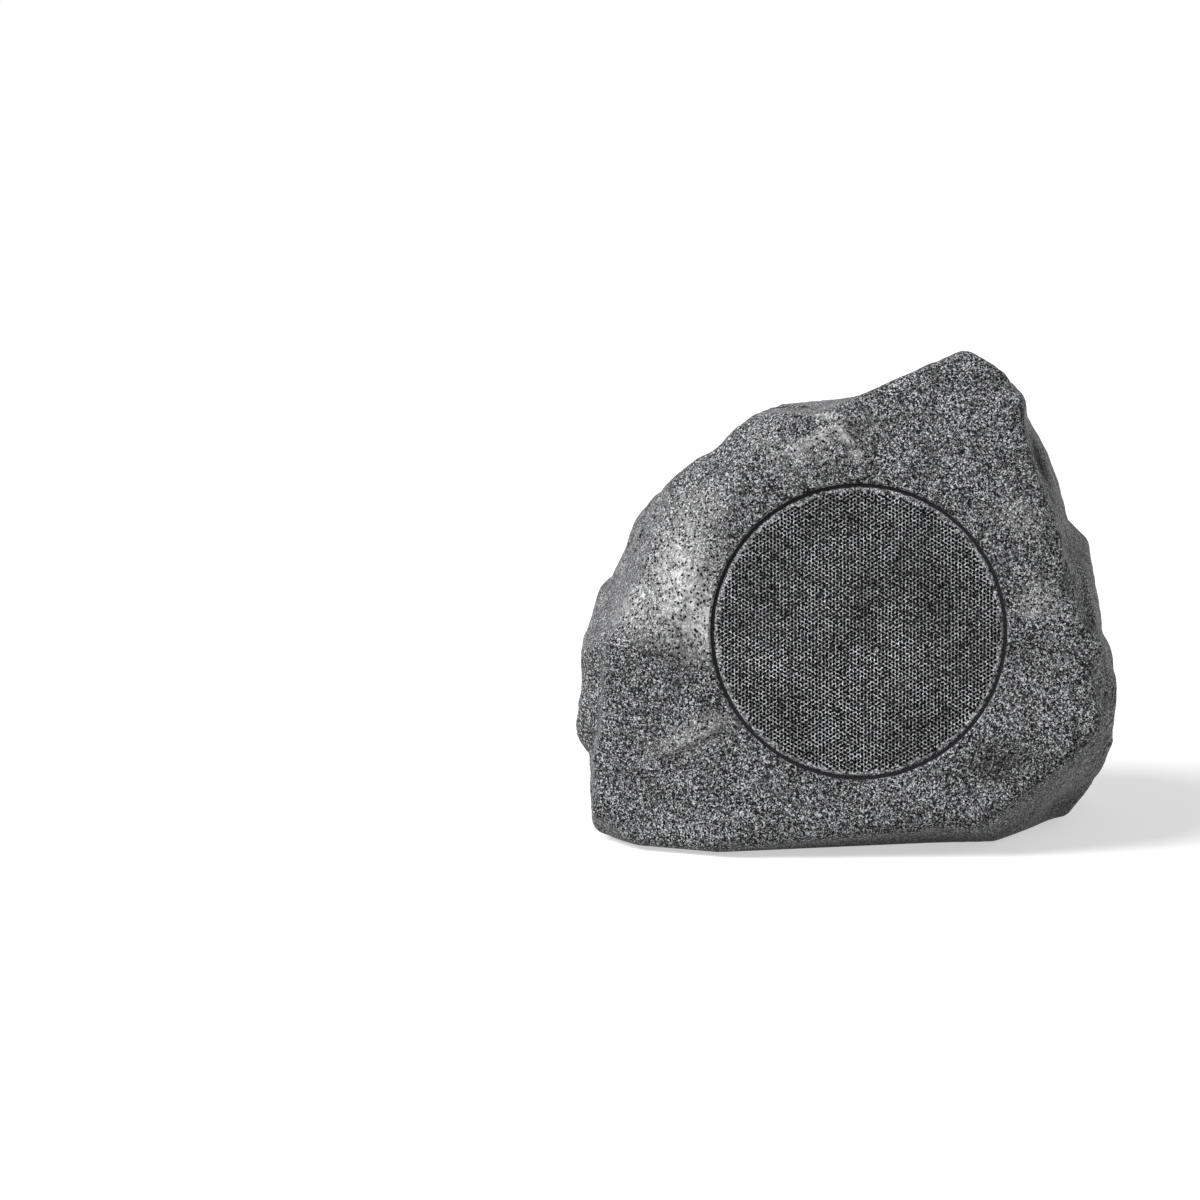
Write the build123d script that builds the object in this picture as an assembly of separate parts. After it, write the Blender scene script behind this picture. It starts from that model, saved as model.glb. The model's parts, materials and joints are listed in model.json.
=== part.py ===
from build123d import *
import math
import os

# Lengths are millimetres and angles are degrees.
# The speaker stands on z = 0 and its grille faces -Y.

# Stone housing: every facet is measured from one heart point inside the stone
HEART_X = 2.96
HEART_Y = -10.86
HEART_HEIGHT = 112
STONE_RADIUS = 100
STOCK_SIZE = 600
STONE_ROUND = 8
STONE_WALL = 5
FLOOR_WALL = 8
LUMP_SEAM = 1
ROCK_LIFT = 2

# Facets of the main stone: bearing from the front (+90 is the right), upward lean,
# and how far out from the heart the facet lies, as a percentage of STONE_RADIUS
STONE_FACETS = {
    "front": (0, 8, 93),
    "front_crown": (2, 18, 104),
    "crown": (-127, 57, 74),
    "peak_right": (117, 50, 125),
    "right_upper": (84, 20, 123),
    "right_front": (66, 8, 143),
    "right": (92, 8, 118),
    "front_left": (-36, 22, 120),
    "low_left": (-22, 0, 122),
    "left_flank": (-86, 6, 125),
    "left_upper": (-78, 21, 119),
    "left_crown": (-112, 52, 100),
    "under_left": (-50, -48, 172),
    "under_front": (14, -66, 133),
    "under_right": (55, -42, 146),
    "under_side": (84, -30, 154),
    "back": (176, 10, 105),
    "back_upper": (166, 40, 108),
    "back_left": (-128, 16, 104),
    "back_right": (126, 14, 106),
}

# Lumps that stand proud of the main stone: the radius that a lump's edges are worn to,
# the facets it breaks through, and its own facets
STONE_LUMPS = {
    "brow": (8, ("front_crown", "crown", "left_crown"), {
        "brow_front": (-6, 15, 103),
        "brow_top": (-100, 83, 110),
        "brow_left_front": (-48, 40, 126),
        "brow_left": (-100, 52, 106),
        "brow_right": (48, 42, 110),
        "brow_back": (175, 50, 84),
    }),
    "cheek": (12, ("left_flank", "left_upper", "back_left"), {
        "cheek_front": (-50, 6, 133),
        "cheek_left": (-88, 9, 131),
        "cheek_top": (-76, 36, 105),
        "cheek_under": (-76, -52, 138),
        "cheek_back": (-140, 12, 105),
    }),
    "ear": (5, ("right_upper", "right", "back_right"), {
        "ear_right": (86, 7, 128),
        "ear_top": (80, 52, 104),
        "ear_back": (140, 16, 92),
        "ear_under": (70, -60, 112),
    }),
    "heel": (5, ("right_front", "right", "back_right"), {
        "heel_front": (58, 0, 151),
        "heel_right": (90, -4, 136),
        "heel_top": (96, 58, 56),
        "heel_under": (78, -54, 141),
        "heel_back": (140, 8, 95),
    }),
}

# Speaker axis, square to the front facet
GRILLE_RIGHT = 5
GRILLE_DROP = 12

# Fits
FIT = 0.1
GLUE = 0.1
SCREW_CLEARANCE = 0.3

# Grille, its cloth and its gasket
GRILLE_DIAMETER = 144
GRILLE_SHEET = 1
GRILLE_RIM = 8
GRILLE_BEND = 2
GRILLE_SET_BACK = 1.5
GRILLE_MARGIN = 6
HOLE_PITCH = 12
HOLE_ACROSS = 7.2
SCRIM_THICKNESS = 0.4
SCRIM_MARGIN = 2.5
GASKET_LIP = 1.4
GASKET_LIP_DROP = 0.5
GASKET_LEDGE = 2
GASKET_LEDGE_WIDTH = 5.5
MOUTH_ROUND = 1

# Baffle that carries the drive unit
DRIVER_WELL = 6.5
WELL_CLEARANCE = 0.5
BAFFLE_THICKNESS = 8
BAFFLE_RIM = 6

# Drive unit
DRIVER_GASKET = 1.5
FLANGE_WIDTH = 8.5
FLANGE_THICKNESS = 2.5
BASKET_CLEARANCE = 1
BASKET_SHEET = 2
SPIDER_DEPTH = 32
SHELF_DIAMETER = 82
MOTOR_DROP = 12
CUP_DIAMETER = 72
HUB_BORE = 32
WINDOW_COUNT = 4
WINDOW_ARC = 58
WINDOW_MARGIN = 4
CONE_EDGE = 3
CONE_SHEET = 1
CONE_SINK = 4
CONE_DEPTH = 24
ROLL_WIDTH = 9
ROLL_MARGIN = 3.5
ROLL_RISE = 4
ROLL_STEPS = 4
SURROUND_SHEET = 0.8
SURROUND_LIP = 4
SPIDER_SHEET = 0.7
SPIDER_LIP = 3.5
SPIDER_RISE = 2.4
SPIDER_WAVE_HEIGHT = 1.2
SPIDER_WAVES = 2
SPIDER_GAP = 0.25

# Motor
POLE_DIAMETER = 24.8
POLE_BORE = 8
COIL_GAP = 0.35
FORMER_WALL = 0.3
COIL_WALL = 0.55
COIL_HEIGHT = 9
TOP_PLATE_DIAMETER = 60
TOP_PLATE_THICKNESS = 5
MAGNET_DIAMETER = 80
MAGNET_BORE = 36
MAGNET_THICKNESS = 14
YOKE_DIAMETER = 74
YOKE_THICKNESS = 5

# Tweeter on a post through the pole
POST_BORE = 5.2
TWEETER_REACH = 26
TWEETER_DIAMETER = 30
TWEETER_DEPTH = 12
TWEETER_RECESS = 2
DOME_DIAMETER = 17
DOME_RISE = 4
DOME_STEPS = 3

# Terminal strip on the back of the basket
STRIP_WIDTH = 16
STRIP_REACH = 10
STRIP_THICKNESS = 1.6
STRIP_GAP = 1
TAG_SPACING = 10
TAG_WIDTH = 2.8
TAG_THICKNESS = 0.8
TAG_LENGTH = 9
TAG_OVERLAP = 4

# Drive unit screws
DRIVER_SCREWS = 4
DRIVER_SCREW_DIAMETER = 3.5
DRIVER_SCREW_HEAD = 6.8
DRIVER_SCREW_HEAD_HEIGHT = 2.2
DRIVER_SCREW_BITE = 6

# Service opening in the underside and its cover
COVER_SETBACK = 5
OPENING_WIDTH = 120
OPENING_DEPTH = 80
OPENING_CORNER = 12
COVER_LEDGE = 12
COVER_FIT = 0.5
COVER_RECESS = 4.6
COVER_SHY = 0.4
BASE_GASKET = 1
RIB_WIDTH = 2
RIB_HEIGHT = 4
RIB_SPACING = 20
BASE_SCREW_DIAMETER = 3.4
BASE_SCREW_HEAD = 6.4
BASE_SCREW_HEAD_HEIGHT = 1.8
BASE_SCREW_BITE = 8
BOSS_WALL = 2.8
BOSS_HEIGHT = 8

# Rubber feet
FOOT_DIAMETER = 18
FOOT_SEAT = 3
FOOT_TAPER = 1
FRONT_FEET_SPREAD = 140
FRONT_FEET_Y = -60
BACK_FEET_SPREAD = 176
BACK_FEET_Y = 52

# Crossover board on the base cover
BOARD_WIDTH = 76
BOARD_DEPTH = 44
BOARD_THICKNESS = 1.6
BOARD_CORNER = 3
STANDOFF_HEIGHT = 6
STANDOFF_DIAMETER = 7
STANDOFF_INSET = 4
BOARD_SCREW_DIAMETER = 2.6
BOARD_SCREW_HEAD = 5
BOARD_SCREW_HEAD_HEIGHT = 1.6
BOARD_SCREW_BITE = 5
BOBBIN_DIAMETER = 26
BOBBIN_HEIGHT = 16
BOBBIN_CORE = 10
BOBBIN_FLANGE = 1.5
WINDING_DEPTH = 6.5
CAPACITOR_DIAMETER = 13
CAPACITOR_HEIGHT = 21
CAPACITOR_ROLL = 0.6
RESISTOR_LENGTH = 22
RESISTOR_WIDTH = 9
RESISTOR_HEIGHT = 9
BLOCK_WIDTH = 24
BLOCK_DEPTH = 9
BLOCK_HEIGHT = 10
BLOCK_WAYS = 4
BLOCK_ENTRY = 2.6
BLOCK_ENTRY_DEPTH = 6
BLOCK_ENTRY_RISE = 4
PART_INSET = 3

# Leads from the crossover to the drive unit
LEAD_DIAMETER = 1.8
LEAD_SIDES = 6
LEAD_DROP = 15
LEAD_STRAIGHT = 14
TWEETER_LEAD_SPACING = 2.4
TWEETER_LEAD_STRAIGHT = 16
TWEETER_PAD_X = 5
TWEETER_PAD_Y = 10
TWEETER_PAD_SPACING = 5
BEND_SHARE = 0.45

# Cable gland in a pocket of the back
GLAND_X = 25
GLAND_HEIGHT = 42
GLAND_POCKET = 32
GLAND_POCKET_DEPTH = 12
GLAND_BOSS_WALL = 5
GLAND_FLOOR = 6
GLAND_THREAD = 12.2
GLAND_ACROSS_FLATS = 15
GLAND_FLANGE = 3
GLAND_NECK = 6
GLAND_BORE = 9.8
GLAND_TAIL = 9
GLAND_NUT_HEIGHT = 13
GLAND_NUT_DOME = 6
GLAND_NUT_MOUTH = 8.8
GLAND_NUT_NOSE = 11
LOCKNUT_ACROSS_FLATS = 17
LOCKNUT_HEIGHT = 5
SEAL_BORE = 6.4
SEAL_LENGTH = 8


# Shared shapes
def disc(diameter, low, high):
    """A round plate on the z axis between two heights."""
    return Pos(0, 0, low) * Cylinder(diameter / 2, high - low, align=(Align.CENTER, Align.CENTER, Align.MIN))


def ring(outer, inner, low, high):
    """A round plate with a hole."""
    return disc(outer, low, high) - disc(inner, low, high)


def turned(*outline):
    """A piece turned about z from the radius and height points of its half section."""
    return revolve(Plane.XZ * make_face(Polyline(*outline, close=True)), Axis.Z)


def hexagon(across_flats, low, high):
    """A hexagonal prism on the z axis."""
    outline = RegularPolygon(across_flats / 2, 6, major_radius=False)
    return Pos(0, 0, low) * extrude(outline, high - low)


def rounded_plate(width, depth, corner, low, high):
    """A rounded rectangle on the z axis between two heights."""
    return Pos(0, 0, low) * extrude(RectangleRounded(width, depth, corner), high - low)


def head_screw(shank, head, head_height, length):
    """A cheese-head screw that points along -z, with the underside of its head at zero."""
    return disc(head, 0, head_height) + disc(shank, -length, 0)


def copies(part, places):
    """Copies of a part at several places, as one group of solids."""
    return Compound(children=[place * part for place in places])


def lead(points):
    """An insulated lead whose corners are bent as wide as its straight runs allow."""
    runs = [end - start for start, end in zip(points, points[1:])]
    radii = []
    for before, after in zip(runs, runs[1:]):
        half_turn = math.radians(before.get_angle(after) / 2)
        radii.append(BEND_SHARE * min(before.length, after.length) / math.tan(half_turn))
    path = FilletPolyline(*points, radius=radii)
    section = RegularPolygon(LEAD_DIAMETER / 2, LEAD_SIDES)
    return sweep(Plane(path @ 0, z_dir=path % 0) * section, path=path)


# Stone facets
heart = Vector(HEART_X, HEART_Y, HEART_HEIGHT)
stone_scale = STONE_RADIUS / 100


def facet_normal(bearing, lean):
    across = math.cos(math.radians(lean))
    turn = math.radians(bearing)
    return Vector(math.sin(turn) * across, -math.cos(turn) * across, math.sin(math.radians(lean)))


def with_underside(facets, sink=0):
    """The facets of a block that stands on the stone's flat underside."""
    depth = HEART_HEIGHT - ROCK_LIFT - sink
    return {**facets, "underside": (0, -90, depth / stone_scale)}


def lump_facets(broken, own):
    """A lump keeps the stone's other facets, a seam deeper so that they stay buried."""
    kept = {}
    for name, (bearing, lean, reach) in STONE_FACETS.items():
        if name not in broken:
            kept[name] = (bearing, lean, reach - LUMP_SEAM / stone_scale)
    return with_underside({**kept, **own}, LUMP_SEAM)


def stone_blocks():
    """The main stone and its lumps, each with the radius that its edges are worn to."""
    lumps = [(wear, lump_facets(broken, own)) for wear, broken, own in STONE_LUMPS.values()]
    return [(STONE_ROUND, with_underside(STONE_FACETS))] + lumps


def hewn(facets, inset):
    """A block split off along every facet, each one moved in towards the heart."""
    block = Pos(heart) * Box(STOCK_SIZE, STOCK_SIZE, STOCK_SIZE)
    for bearing, lean, reach in facets.values():
        normal = facet_normal(bearing, lean)
        cut = Plane(origin=heart + normal * (reach * stone_scale - inset), z_dir=normal)
        block = split(block, bisect_by=cut, keep=Keep.BOTTOM)
    return block


def tumbled(facets, wear):
    """A hewn block with every edge and corner worn round."""
    return offset(hewn(facets, wear), amount=wear, kind=Kind.ARC)


def joined(solids):
    body = solids[0]
    for solid in solids[1:]:
        body = body + solid
    return body


# Heights along the speaker axis, where zero is the stone's front facet
grille_front = -GRILLE_SET_BACK
grille_foot = grille_front - GRILLE_RIM
gasket_shelf = grille_foot - GASKET_LEDGE
driver_seat = gasket_shelf - DRIVER_WELL
baffle_back = driver_seat - BAFFLE_THICKNESS
flange_back = driver_seat + DRIVER_GASKET
flange_front = flange_back + FLANGE_THICKNESS
spider_shelf = flange_front - SPIDER_DEPTH
motor_seat = spider_shelf - MOTOR_DROP
top_plate_back = motor_seat - TOP_PLATE_THICKNESS
magnet_back = top_plate_back - MAGNET_THICKNESS
yoke_back = magnet_back - YOKE_THICKNESS
cone_edge = flange_front - CONE_SINK
cone_neck = cone_edge - CONE_DEPTH
coil_middle = motor_seat - TOP_PLATE_THICKNESS / 2
coil_foot = coil_middle - COIL_HEIGHT / 2
tweeter_back = motor_seat + TWEETER_REACH
tweeter_front = tweeter_back + TWEETER_DEPTH

# Diameters about the speaker axis
lip_bore = GRILLE_DIAMETER + 2 * FIT
lip_outside = lip_bore + 2 * GASKET_LIP
pocket = lip_outside + 2 * FIT
ledge_bore = lip_outside - 2 * GASKET_LEDGE_WIDTH
well = ledge_bore - 2 * WELL_CLEARANCE
flange = well - 2 * WELL_CLEARANCE
cutout = flange - 2 * FLANGE_WIDTH
driver_screw_circle = (flange + cutout) / 2
throat = cutout - 2 * BASKET_CLEARANCE
roll_outside = cutout - 2 * ROLL_MARGIN
cone_outside = roll_outside - 2 * ROLL_WIDTH
former_bore = POLE_DIAMETER + 2 * COIL_GAP
former_outside = former_bore + 2 * FORMER_WALL
coil_outside = former_outside + 2 * COIL_WALL
plate_bore = coil_outside + 2 * COIL_GAP

# Heights above the ground
floor_top = ROCK_LIFT + FLOOR_WALL
cover_seat = ROCK_LIFT + COVER_RECESS
cover_top = cover_seat - BASE_GASKET
cover_bottom = ROCK_LIFT + COVER_SHY
board_bottom = cover_top + STANDOFF_HEIGHT
board_top = board_bottom + BOARD_THICKNESS
block_entry_height = board_top + BLOCK_ENTRY_RISE

# Frames of the tilted drive unit and of the level cable gland
front_normal = facet_normal(*STONE_FACETS["front"][:2])
front_face = Plane(
    origin=heart + front_normal * STONE_FACETS["front"][2] * stone_scale,
    x_dir=Vector(0, 0, 1).cross(front_normal),
    z_dir=front_normal,
)
speaker_frame = front_face.shift_origin(front_face.from_local_coords((GRILLE_RIGHT, -GRILLE_DROP, 0)))


def back_face_depth(x, z):
    """How far back the stone's rear facet lies at a place across and up."""
    bearing, lean, reach = STONE_FACETS["back"]
    normal = facet_normal(bearing, lean)
    level = reach * stone_scale - normal.X * (x - heart.X) - normal.Z * (z - heart.Z)
    return heart.Y + level / normal.Y


gland_floor = back_face_depth(GLAND_X, GLAND_HEIGHT) - GLAND_POCKET_DEPTH
gland_frame = Plane(origin=(GLAND_X, gland_floor, GLAND_HEIGHT), x_dir=(1, 0, 0), z_dir=(0, 1, 0))

# Places of what repeats
driver_screw_places = PolarLocations(driver_screw_circle / 2, DRIVER_SCREWS, start_angle=45).locations
cover_frame = Pos(0, COVER_SETBACK, 0)
corner_screw_offset = COVER_LEDGE / 2 - OPENING_CORNER * (1 - math.sqrt(0.5))
base_screw_corners = GridLocations(
    OPENING_WIDTH + 2 * corner_screw_offset, OPENING_DEPTH + 2 * corner_screw_offset, 2, 2).locations
base_screw_middles = GridLocations(0, OPENING_DEPTH + COVER_LEDGE, 1, 2).locations
base_screw_places = [cover_frame * place for place in base_screw_corners + base_screw_middles]
standoff_places = [
    cover_frame * place
    for place in GridLocations(BOARD_WIDTH - 2 * STANDOFF_INSET, BOARD_DEPTH - 2 * STANDOFF_INSET, 2, 2).locations
]
feet_rows = ((FRONT_FEET_SPREAD, FRONT_FEET_Y), (BACK_FEET_SPREAD, BACK_FEET_Y))
foot_places = [Pos(side * spread / 2, y, 0) for side in (-1, 1) for spread, y in feet_rows]
tag_places = [Pos(side * TAG_SPACING / 2, 0, 0) for side in (-1, 1)]


# Stone housing
def rock_shell():
    """The hollow stone with its stepped baffle, service opening, foot seats and gland pocket."""
    blocks = stone_blocks()
    outside = joined([tumbled(facets, wear) for wear, facets in blocks])
    cavity = joined([hewn(facets, STONE_WALL) for _, facets in blocks])
    above_floor = Plane(origin=(0, 0, floor_top), z_dir=(0, 0, 1))
    cavity = split(cavity, bisect_by=above_floor, keep=Keep.TOP)

    baffle = speaker_frame * disc(pocket + 2 * BAFFLE_RIM, baffle_back, -STONE_WALL / 2)
    gland_boss = gland_frame * disc(GLAND_POCKET + 2 * GLAND_BOSS_WALL, -GLAND_FLOOR, GLAND_POCKET_DEPTH)
    cavity = cavity - baffle - gland_boss - screw_bosses()

    shell = outside - cavity
    shell = shell - speaker_frame * baffle_cuts() - gland_frame * gland_cuts()
    return shell - underside_cuts()


def screw_bosses():
    diameter = BASE_SCREW_DIAMETER + 2 * BOSS_WALL
    return copies(disc(diameter, ROCK_LIFT, floor_top + BOSS_HEIGHT), base_screw_places)


def baffle_cuts():
    """Steps for the grille gasket, the drive unit's flange and its basket, with the screw pilots."""
    above = STONE_ROUND
    mouth = turned((0, gasket_shelf), (pocket / 2, gasket_shelf), (pocket / 2, -MOUTH_ROUND),
                   (pocket / 2 + MOUTH_ROUND, 0), (pocket / 2 + MOUTH_ROUND, above), (0, above))
    steps = mouth + disc(well, driver_seat, gasket_shelf) + disc(cutout, baffle_back, driver_seat)
    bite = DRIVER_SCREW_BITE + FIT
    pilots = copies(disc(DRIVER_SCREW_DIAMETER + 2 * FIT, driver_seat - bite, driver_seat), driver_screw_places)
    return steps + pilots


def gland_cuts():
    pocket_cut = disc(GLAND_POCKET, 0, GLAND_POCKET + GLAND_POCKET_DEPTH)
    return pocket_cut + disc(GLAND_THREAD + 2 * FIT, -GLAND_FLOOR, 0)


def underside_cuts():
    opening = rounded_plate(OPENING_WIDTH, OPENING_DEPTH, OPENING_CORNER, ROCK_LIFT, floor_top)
    recess = cover_outline(COVER_FIT, 0, cover_seat)
    pilot_top = floor_top + BOSS_HEIGHT - BOSS_WALL / 2
    pilots = copies(disc(BASE_SCREW_DIAMETER + 2 * FIT, cover_seat, pilot_top), base_screw_places)
    feet = copies(disc(FOOT_DIAMETER + 2 * FIT, 0, ROCK_LIFT + FOOT_SEAT), foot_places)
    return cover_frame * (opening + recess) + pilots + feet


def cover_outline(grow, low, high):
    """The base cover's rounded outline, grown by a clearance."""
    width = OPENING_WIDTH + 2 * (COVER_LEDGE + grow)
    depth = OPENING_DEPTH + 2 * (COVER_LEDGE + grow)
    return rounded_plate(width, depth, OPENING_CORNER + grow, low, high)


# Grille
def grille():
    """A pressed steel pan with a turned-back rim, perforated all over its face."""
    edge = GRILLE_DIAMETER / 2
    back = grille_front - GRILLE_SHEET
    inner_bend = GRILLE_BEND - GRILLE_SHEET * (2 - math.sqrt(2))
    inner_edge = edge - GRILLE_SHEET
    pan = turned(
        (0, grille_front), (edge - GRILLE_BEND, grille_front), (edge, grille_front - GRILLE_BEND),
        (edge, grille_foot), (inner_edge, grille_foot), (inner_edge, back - inner_bend),
        (inner_edge - inner_bend, back), (0, back))
    hole = RegularPolygon(HOLE_ACROSS / 2, 6, major_radius=False)
    holes = Sketch() + [place * hole for place in hole_places()]
    return pan - Pos(0, 0, back) * extrude(holes, GRILLE_SHEET)


def hole_places():
    """A close-packed pattern in upright columns, kept inside the plain margin."""
    column_step = HOLE_PITCH * math.sqrt(3) / 2
    limit = GRILLE_DIAMETER / 2 - GRILLE_MARGIN - HOLE_ACROSS / 2
    columns = math.ceil(limit / column_step)
    rows = math.ceil(limit / HOLE_PITCH) + 1
    places = []
    for column in range(-columns, columns + 1):
        for row in range(-rows, rows + 1):
            x = column * column_step
            y = (row + column % 2 / 2) * HOLE_PITCH
            if math.hypot(x, y) <= limit:
                places.append(Pos(x, y))
    return places


def grille_scrim():
    back = grille_front - GRILLE_SHEET
    return disc(GRILLE_DIAMETER - 2 * (GRILLE_SHEET + SCRIM_MARGIN), back - SCRIM_THICKNESS, back)


def grille_gasket():
    """An L-section rubber ring: the rim stands on its ledge and its lip fills the gap round the grille."""
    lip_top = grille_front - GASKET_LIP_DROP
    return turned((ledge_bore / 2, gasket_shelf), (lip_outside / 2, gasket_shelf), (lip_outside / 2, lip_top),
                  (lip_bore / 2, lip_top), (lip_bore / 2, grille_foot), (ledge_bore / 2, grille_foot))


# Drive unit
def screw_holes(diameter, low, high):
    return copies(disc(diameter, low, high), driver_screw_places)


def driver_gasket():
    plain = ring(flange, cutout, driver_seat, flange_back)
    return plain - screw_holes(DRIVER_SCREW_DIAMETER + 2 * SCREW_CLEARANCE, driver_seat, flange_back)


def driver_basket():
    """A pressed frame: screw flange, open cone of spokes, spider shelf and motor seat."""
    flange_bore = roll_outside - 2 * FIT
    shelf_foot = spider_shelf - BASKET_SHEET
    seat_top = motor_seat + BASKET_SHEET
    frame = turned(
        (flange / 2, flange_front), (flange / 2, flange_back), (throat / 2, flange_back),
        (SHELF_DIAMETER / 2, shelf_foot), (CUP_DIAMETER / 2, shelf_foot), (CUP_DIAMETER / 2, motor_seat),
        (HUB_BORE / 2, motor_seat), (HUB_BORE / 2, seat_top), (CUP_DIAMETER / 2 - BASKET_SHEET, seat_top),
        (CUP_DIAMETER / 2 - BASKET_SHEET, spider_shelf), (SHELF_DIAMETER / 2 - BASKET_SHEET / 2, spider_shelf),
        (flange_bore / 2, flange_back), (flange_bore / 2, flange_front),
    )
    window_low = spider_shelf + WINDOW_MARGIN
    window_high = flange_back - WINDOW_MARGIN
    window = Pos(0, 0, window_low) * Cylinder(
        flange / 2, window_high - window_low, arc_size=WINDOW_ARC,
        align=(Align.NONE, Align.NONE, Align.MIN))
    for index in range(WINDOW_COUNT):
        frame = frame - Rot(0, 0, index * 360 / WINDOW_COUNT - WINDOW_ARC / 2) * window
    return frame - screw_holes(DRIVER_SCREW_DIAMETER + 2 * SCREW_CLEARANCE, flange_back, flange_front)


def surround():
    """A half-roll rubber edge from the cone up to the flange."""
    inner = cone_edge + GLUE + SURROUND_SHEET / 2
    outer = flange_front + GLUE + SURROUND_SHEET / 2
    cone_side = cone_outside / 2
    flange_side = roll_outside / 2
    crown = outer + ROLL_RISE
    roll = ThreePointArc((cone_side, inner), ((cone_side + flange_side) / 2, crown), (flange_side, outer))
    points = [(cone_side - CONE_EDGE, inner)]
    points += [tuple(roll @ (step / ROLL_STEPS))[:2] for step in range(ROLL_STEPS + 1)]
    points.append((flange_side + SURROUND_LIP, outer))
    return revolve(Plane.XZ * trace(Polyline(*points), SURROUND_SHEET), Axis.Z)


def cone():
    neck = former_outside / 2 + FIT
    edge = cone_outside / 2
    return turned((neck, cone_neck), (neck + CONE_SHEET, cone_neck), (edge - CONE_EDGE, cone_edge - CONE_SHEET),
                  (edge, cone_edge - CONE_SHEET), (edge, cone_edge), (edge - CONE_EDGE - CONE_SHEET, cone_edge),
                  (neck, cone_neck + CONE_SHEET))


def spider():
    """A corrugated cloth disc that centres the former, glued to the basket's shelf."""
    level = spider_shelf + GLUE + SPIDER_SHEET / 2
    outside = SHELF_DIAMETER / 2 - BASKET_SHEET
    lip = outside - SPIDER_LIP
    inside = former_outside / 2 + SPIDER_GAP
    points = [(outside, level), (lip, level)]
    steps = 2 * SPIDER_WAVES
    for step in range(1, steps):
        share = step / steps
        height = level + SPIDER_RISE * share + SPIDER_WAVE_HEIGHT * (1 if step % 2 else -1)
        points.append((lip + (inside - lip) * share, height))
    points.append((inside, level + SPIDER_RISE))
    return revolve(Plane.XZ * trace(Polyline(*points), SPIDER_SHEET), Axis.Z)


def voice_coil_former():
    return ring(former_outside, former_bore, coil_foot, cone_neck + CONE_SHEET)


def voice_coil():
    return ring(coil_outside, former_outside, coil_foot, coil_foot + COIL_HEIGHT)


def top_plate():
    return ring(TOP_PLATE_DIAMETER, plate_bore, top_plate_back, motor_seat)


def magnet():
    return ring(MAGNET_DIAMETER, MAGNET_BORE, magnet_back, top_plate_back)


def yoke():
    """The back plate and pole, turned as one piece and bored for the tweeter's post."""
    return disc(YOKE_DIAMETER, yoke_back, magnet_back) + disc(POLE_DIAMETER, magnet_back, motor_seat) - disc(
        POLE_BORE, yoke_back, motor_seat)


def tweeter_post():
    return ring(POLE_BORE - 2 * FIT, POST_BORE, yoke_back, tweeter_back)


def tweeter_housing():
    """A cup with a bevelled face and a recess for the dome."""
    half = TWEETER_DIAMETER / 2
    recess = DOME_DIAMETER / 2 + FIT
    floor = tweeter_front - TWEETER_RECESS
    return turned((0, tweeter_back), (half, tweeter_back), (half, floor), (half - TWEETER_RECESS, tweeter_front),
                  (recess, tweeter_front), (recess, floor), (0, floor))


def tweeter_dome():
    """A shallow doped dome, set in the housing's recess."""
    seat = tweeter_front - TWEETER_RECESS
    half = DOME_DIAMETER / 2
    rise = ThreePointArc((half, seat), (half * math.sqrt(3) / 2, seat + DOME_RISE / 2), (0, seat + DOME_RISE))
    outline = [tuple(rise @ (step / DOME_STEPS))[:2] for step in range(DOME_STEPS + 1)]
    return turned((0, seat), *outline)


def strip_middle():
    inner = TOP_PLATE_DIAMETER / 2 + STRIP_GAP
    return -(inner + STRIP_REACH / 2)


def terminal_strip():
    return Pos(0, strip_middle(), motor_seat - STRIP_THICKNESS / 2) * Box(STRIP_WIDTH, STRIP_REACH, STRIP_THICKNESS)


def tag_end():
    """How far down the tags reach below the speaker axis."""
    return strip_middle() - STRIP_REACH / 2 + TAG_OVERLAP - TAG_LENGTH


def terminal_tags():
    height = motor_seat - STRIP_THICKNESS - TAG_THICKNESS / 2
    blade = Pos(0, tag_end() + TAG_LENGTH / 2, height) * Box(TAG_WIDTH, TAG_LENGTH, TAG_THICKNESS)
    return copies(blade, tag_places)


def driver_screws():
    length = FLANGE_THICKNESS + DRIVER_GASKET + DRIVER_SCREW_BITE
    screw = head_screw(DRIVER_SCREW_DIAMETER, DRIVER_SCREW_HEAD, DRIVER_SCREW_HEAD_HEIGHT, length)
    return copies(Pos(0, 0, flange_front) * screw, driver_screw_places)


# Base cover and feet
def base_gasket():
    plain = cover_outline(0, cover_top, cover_seat)
    plain = plain - rounded_plate(OPENING_WIDTH, OPENING_DEPTH, OPENING_CORNER, cover_top, cover_seat)
    hole = disc(BASE_SCREW_DIAMETER + 2 * SCREW_CLEARANCE, cover_top, cover_seat)
    return cover_frame * plain - copies(hole, base_screw_places)


def base_cover():
    """A moulded plate with counterbored screw holes, stiffening ribs and standoffs for the board."""
    plate = cover_outline(0, cover_bottom, cover_top)
    rib_length = OPENING_WIDTH - 2 * OPENING_CORNER
    for place in GridLocations(0, RIB_SPACING, 1, 2):
        plate = plate + Pos(0, 0, cover_top + RIB_HEIGHT / 2) * place * Box(rib_length, RIB_WIDTH, RIB_HEIGHT)
    plate = cover_frame * plate + copies(disc(STANDOFF_DIAMETER, cover_top, board_bottom), standoff_places)
    pilot = disc(BOARD_SCREW_DIAMETER + 2 * FIT, board_bottom - BOARD_SCREW_BITE - FIT, board_bottom)
    hole = disc(BASE_SCREW_DIAMETER + 2 * SCREW_CLEARANCE, cover_bottom, cover_top)
    sink = disc(BASE_SCREW_HEAD + 2 * SCREW_CLEARANCE, 0, cover_bottom + BASE_SCREW_HEAD_HEIGHT)
    return plate - copies(pilot, standoff_places) - copies(hole + sink, base_screw_places)


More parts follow.
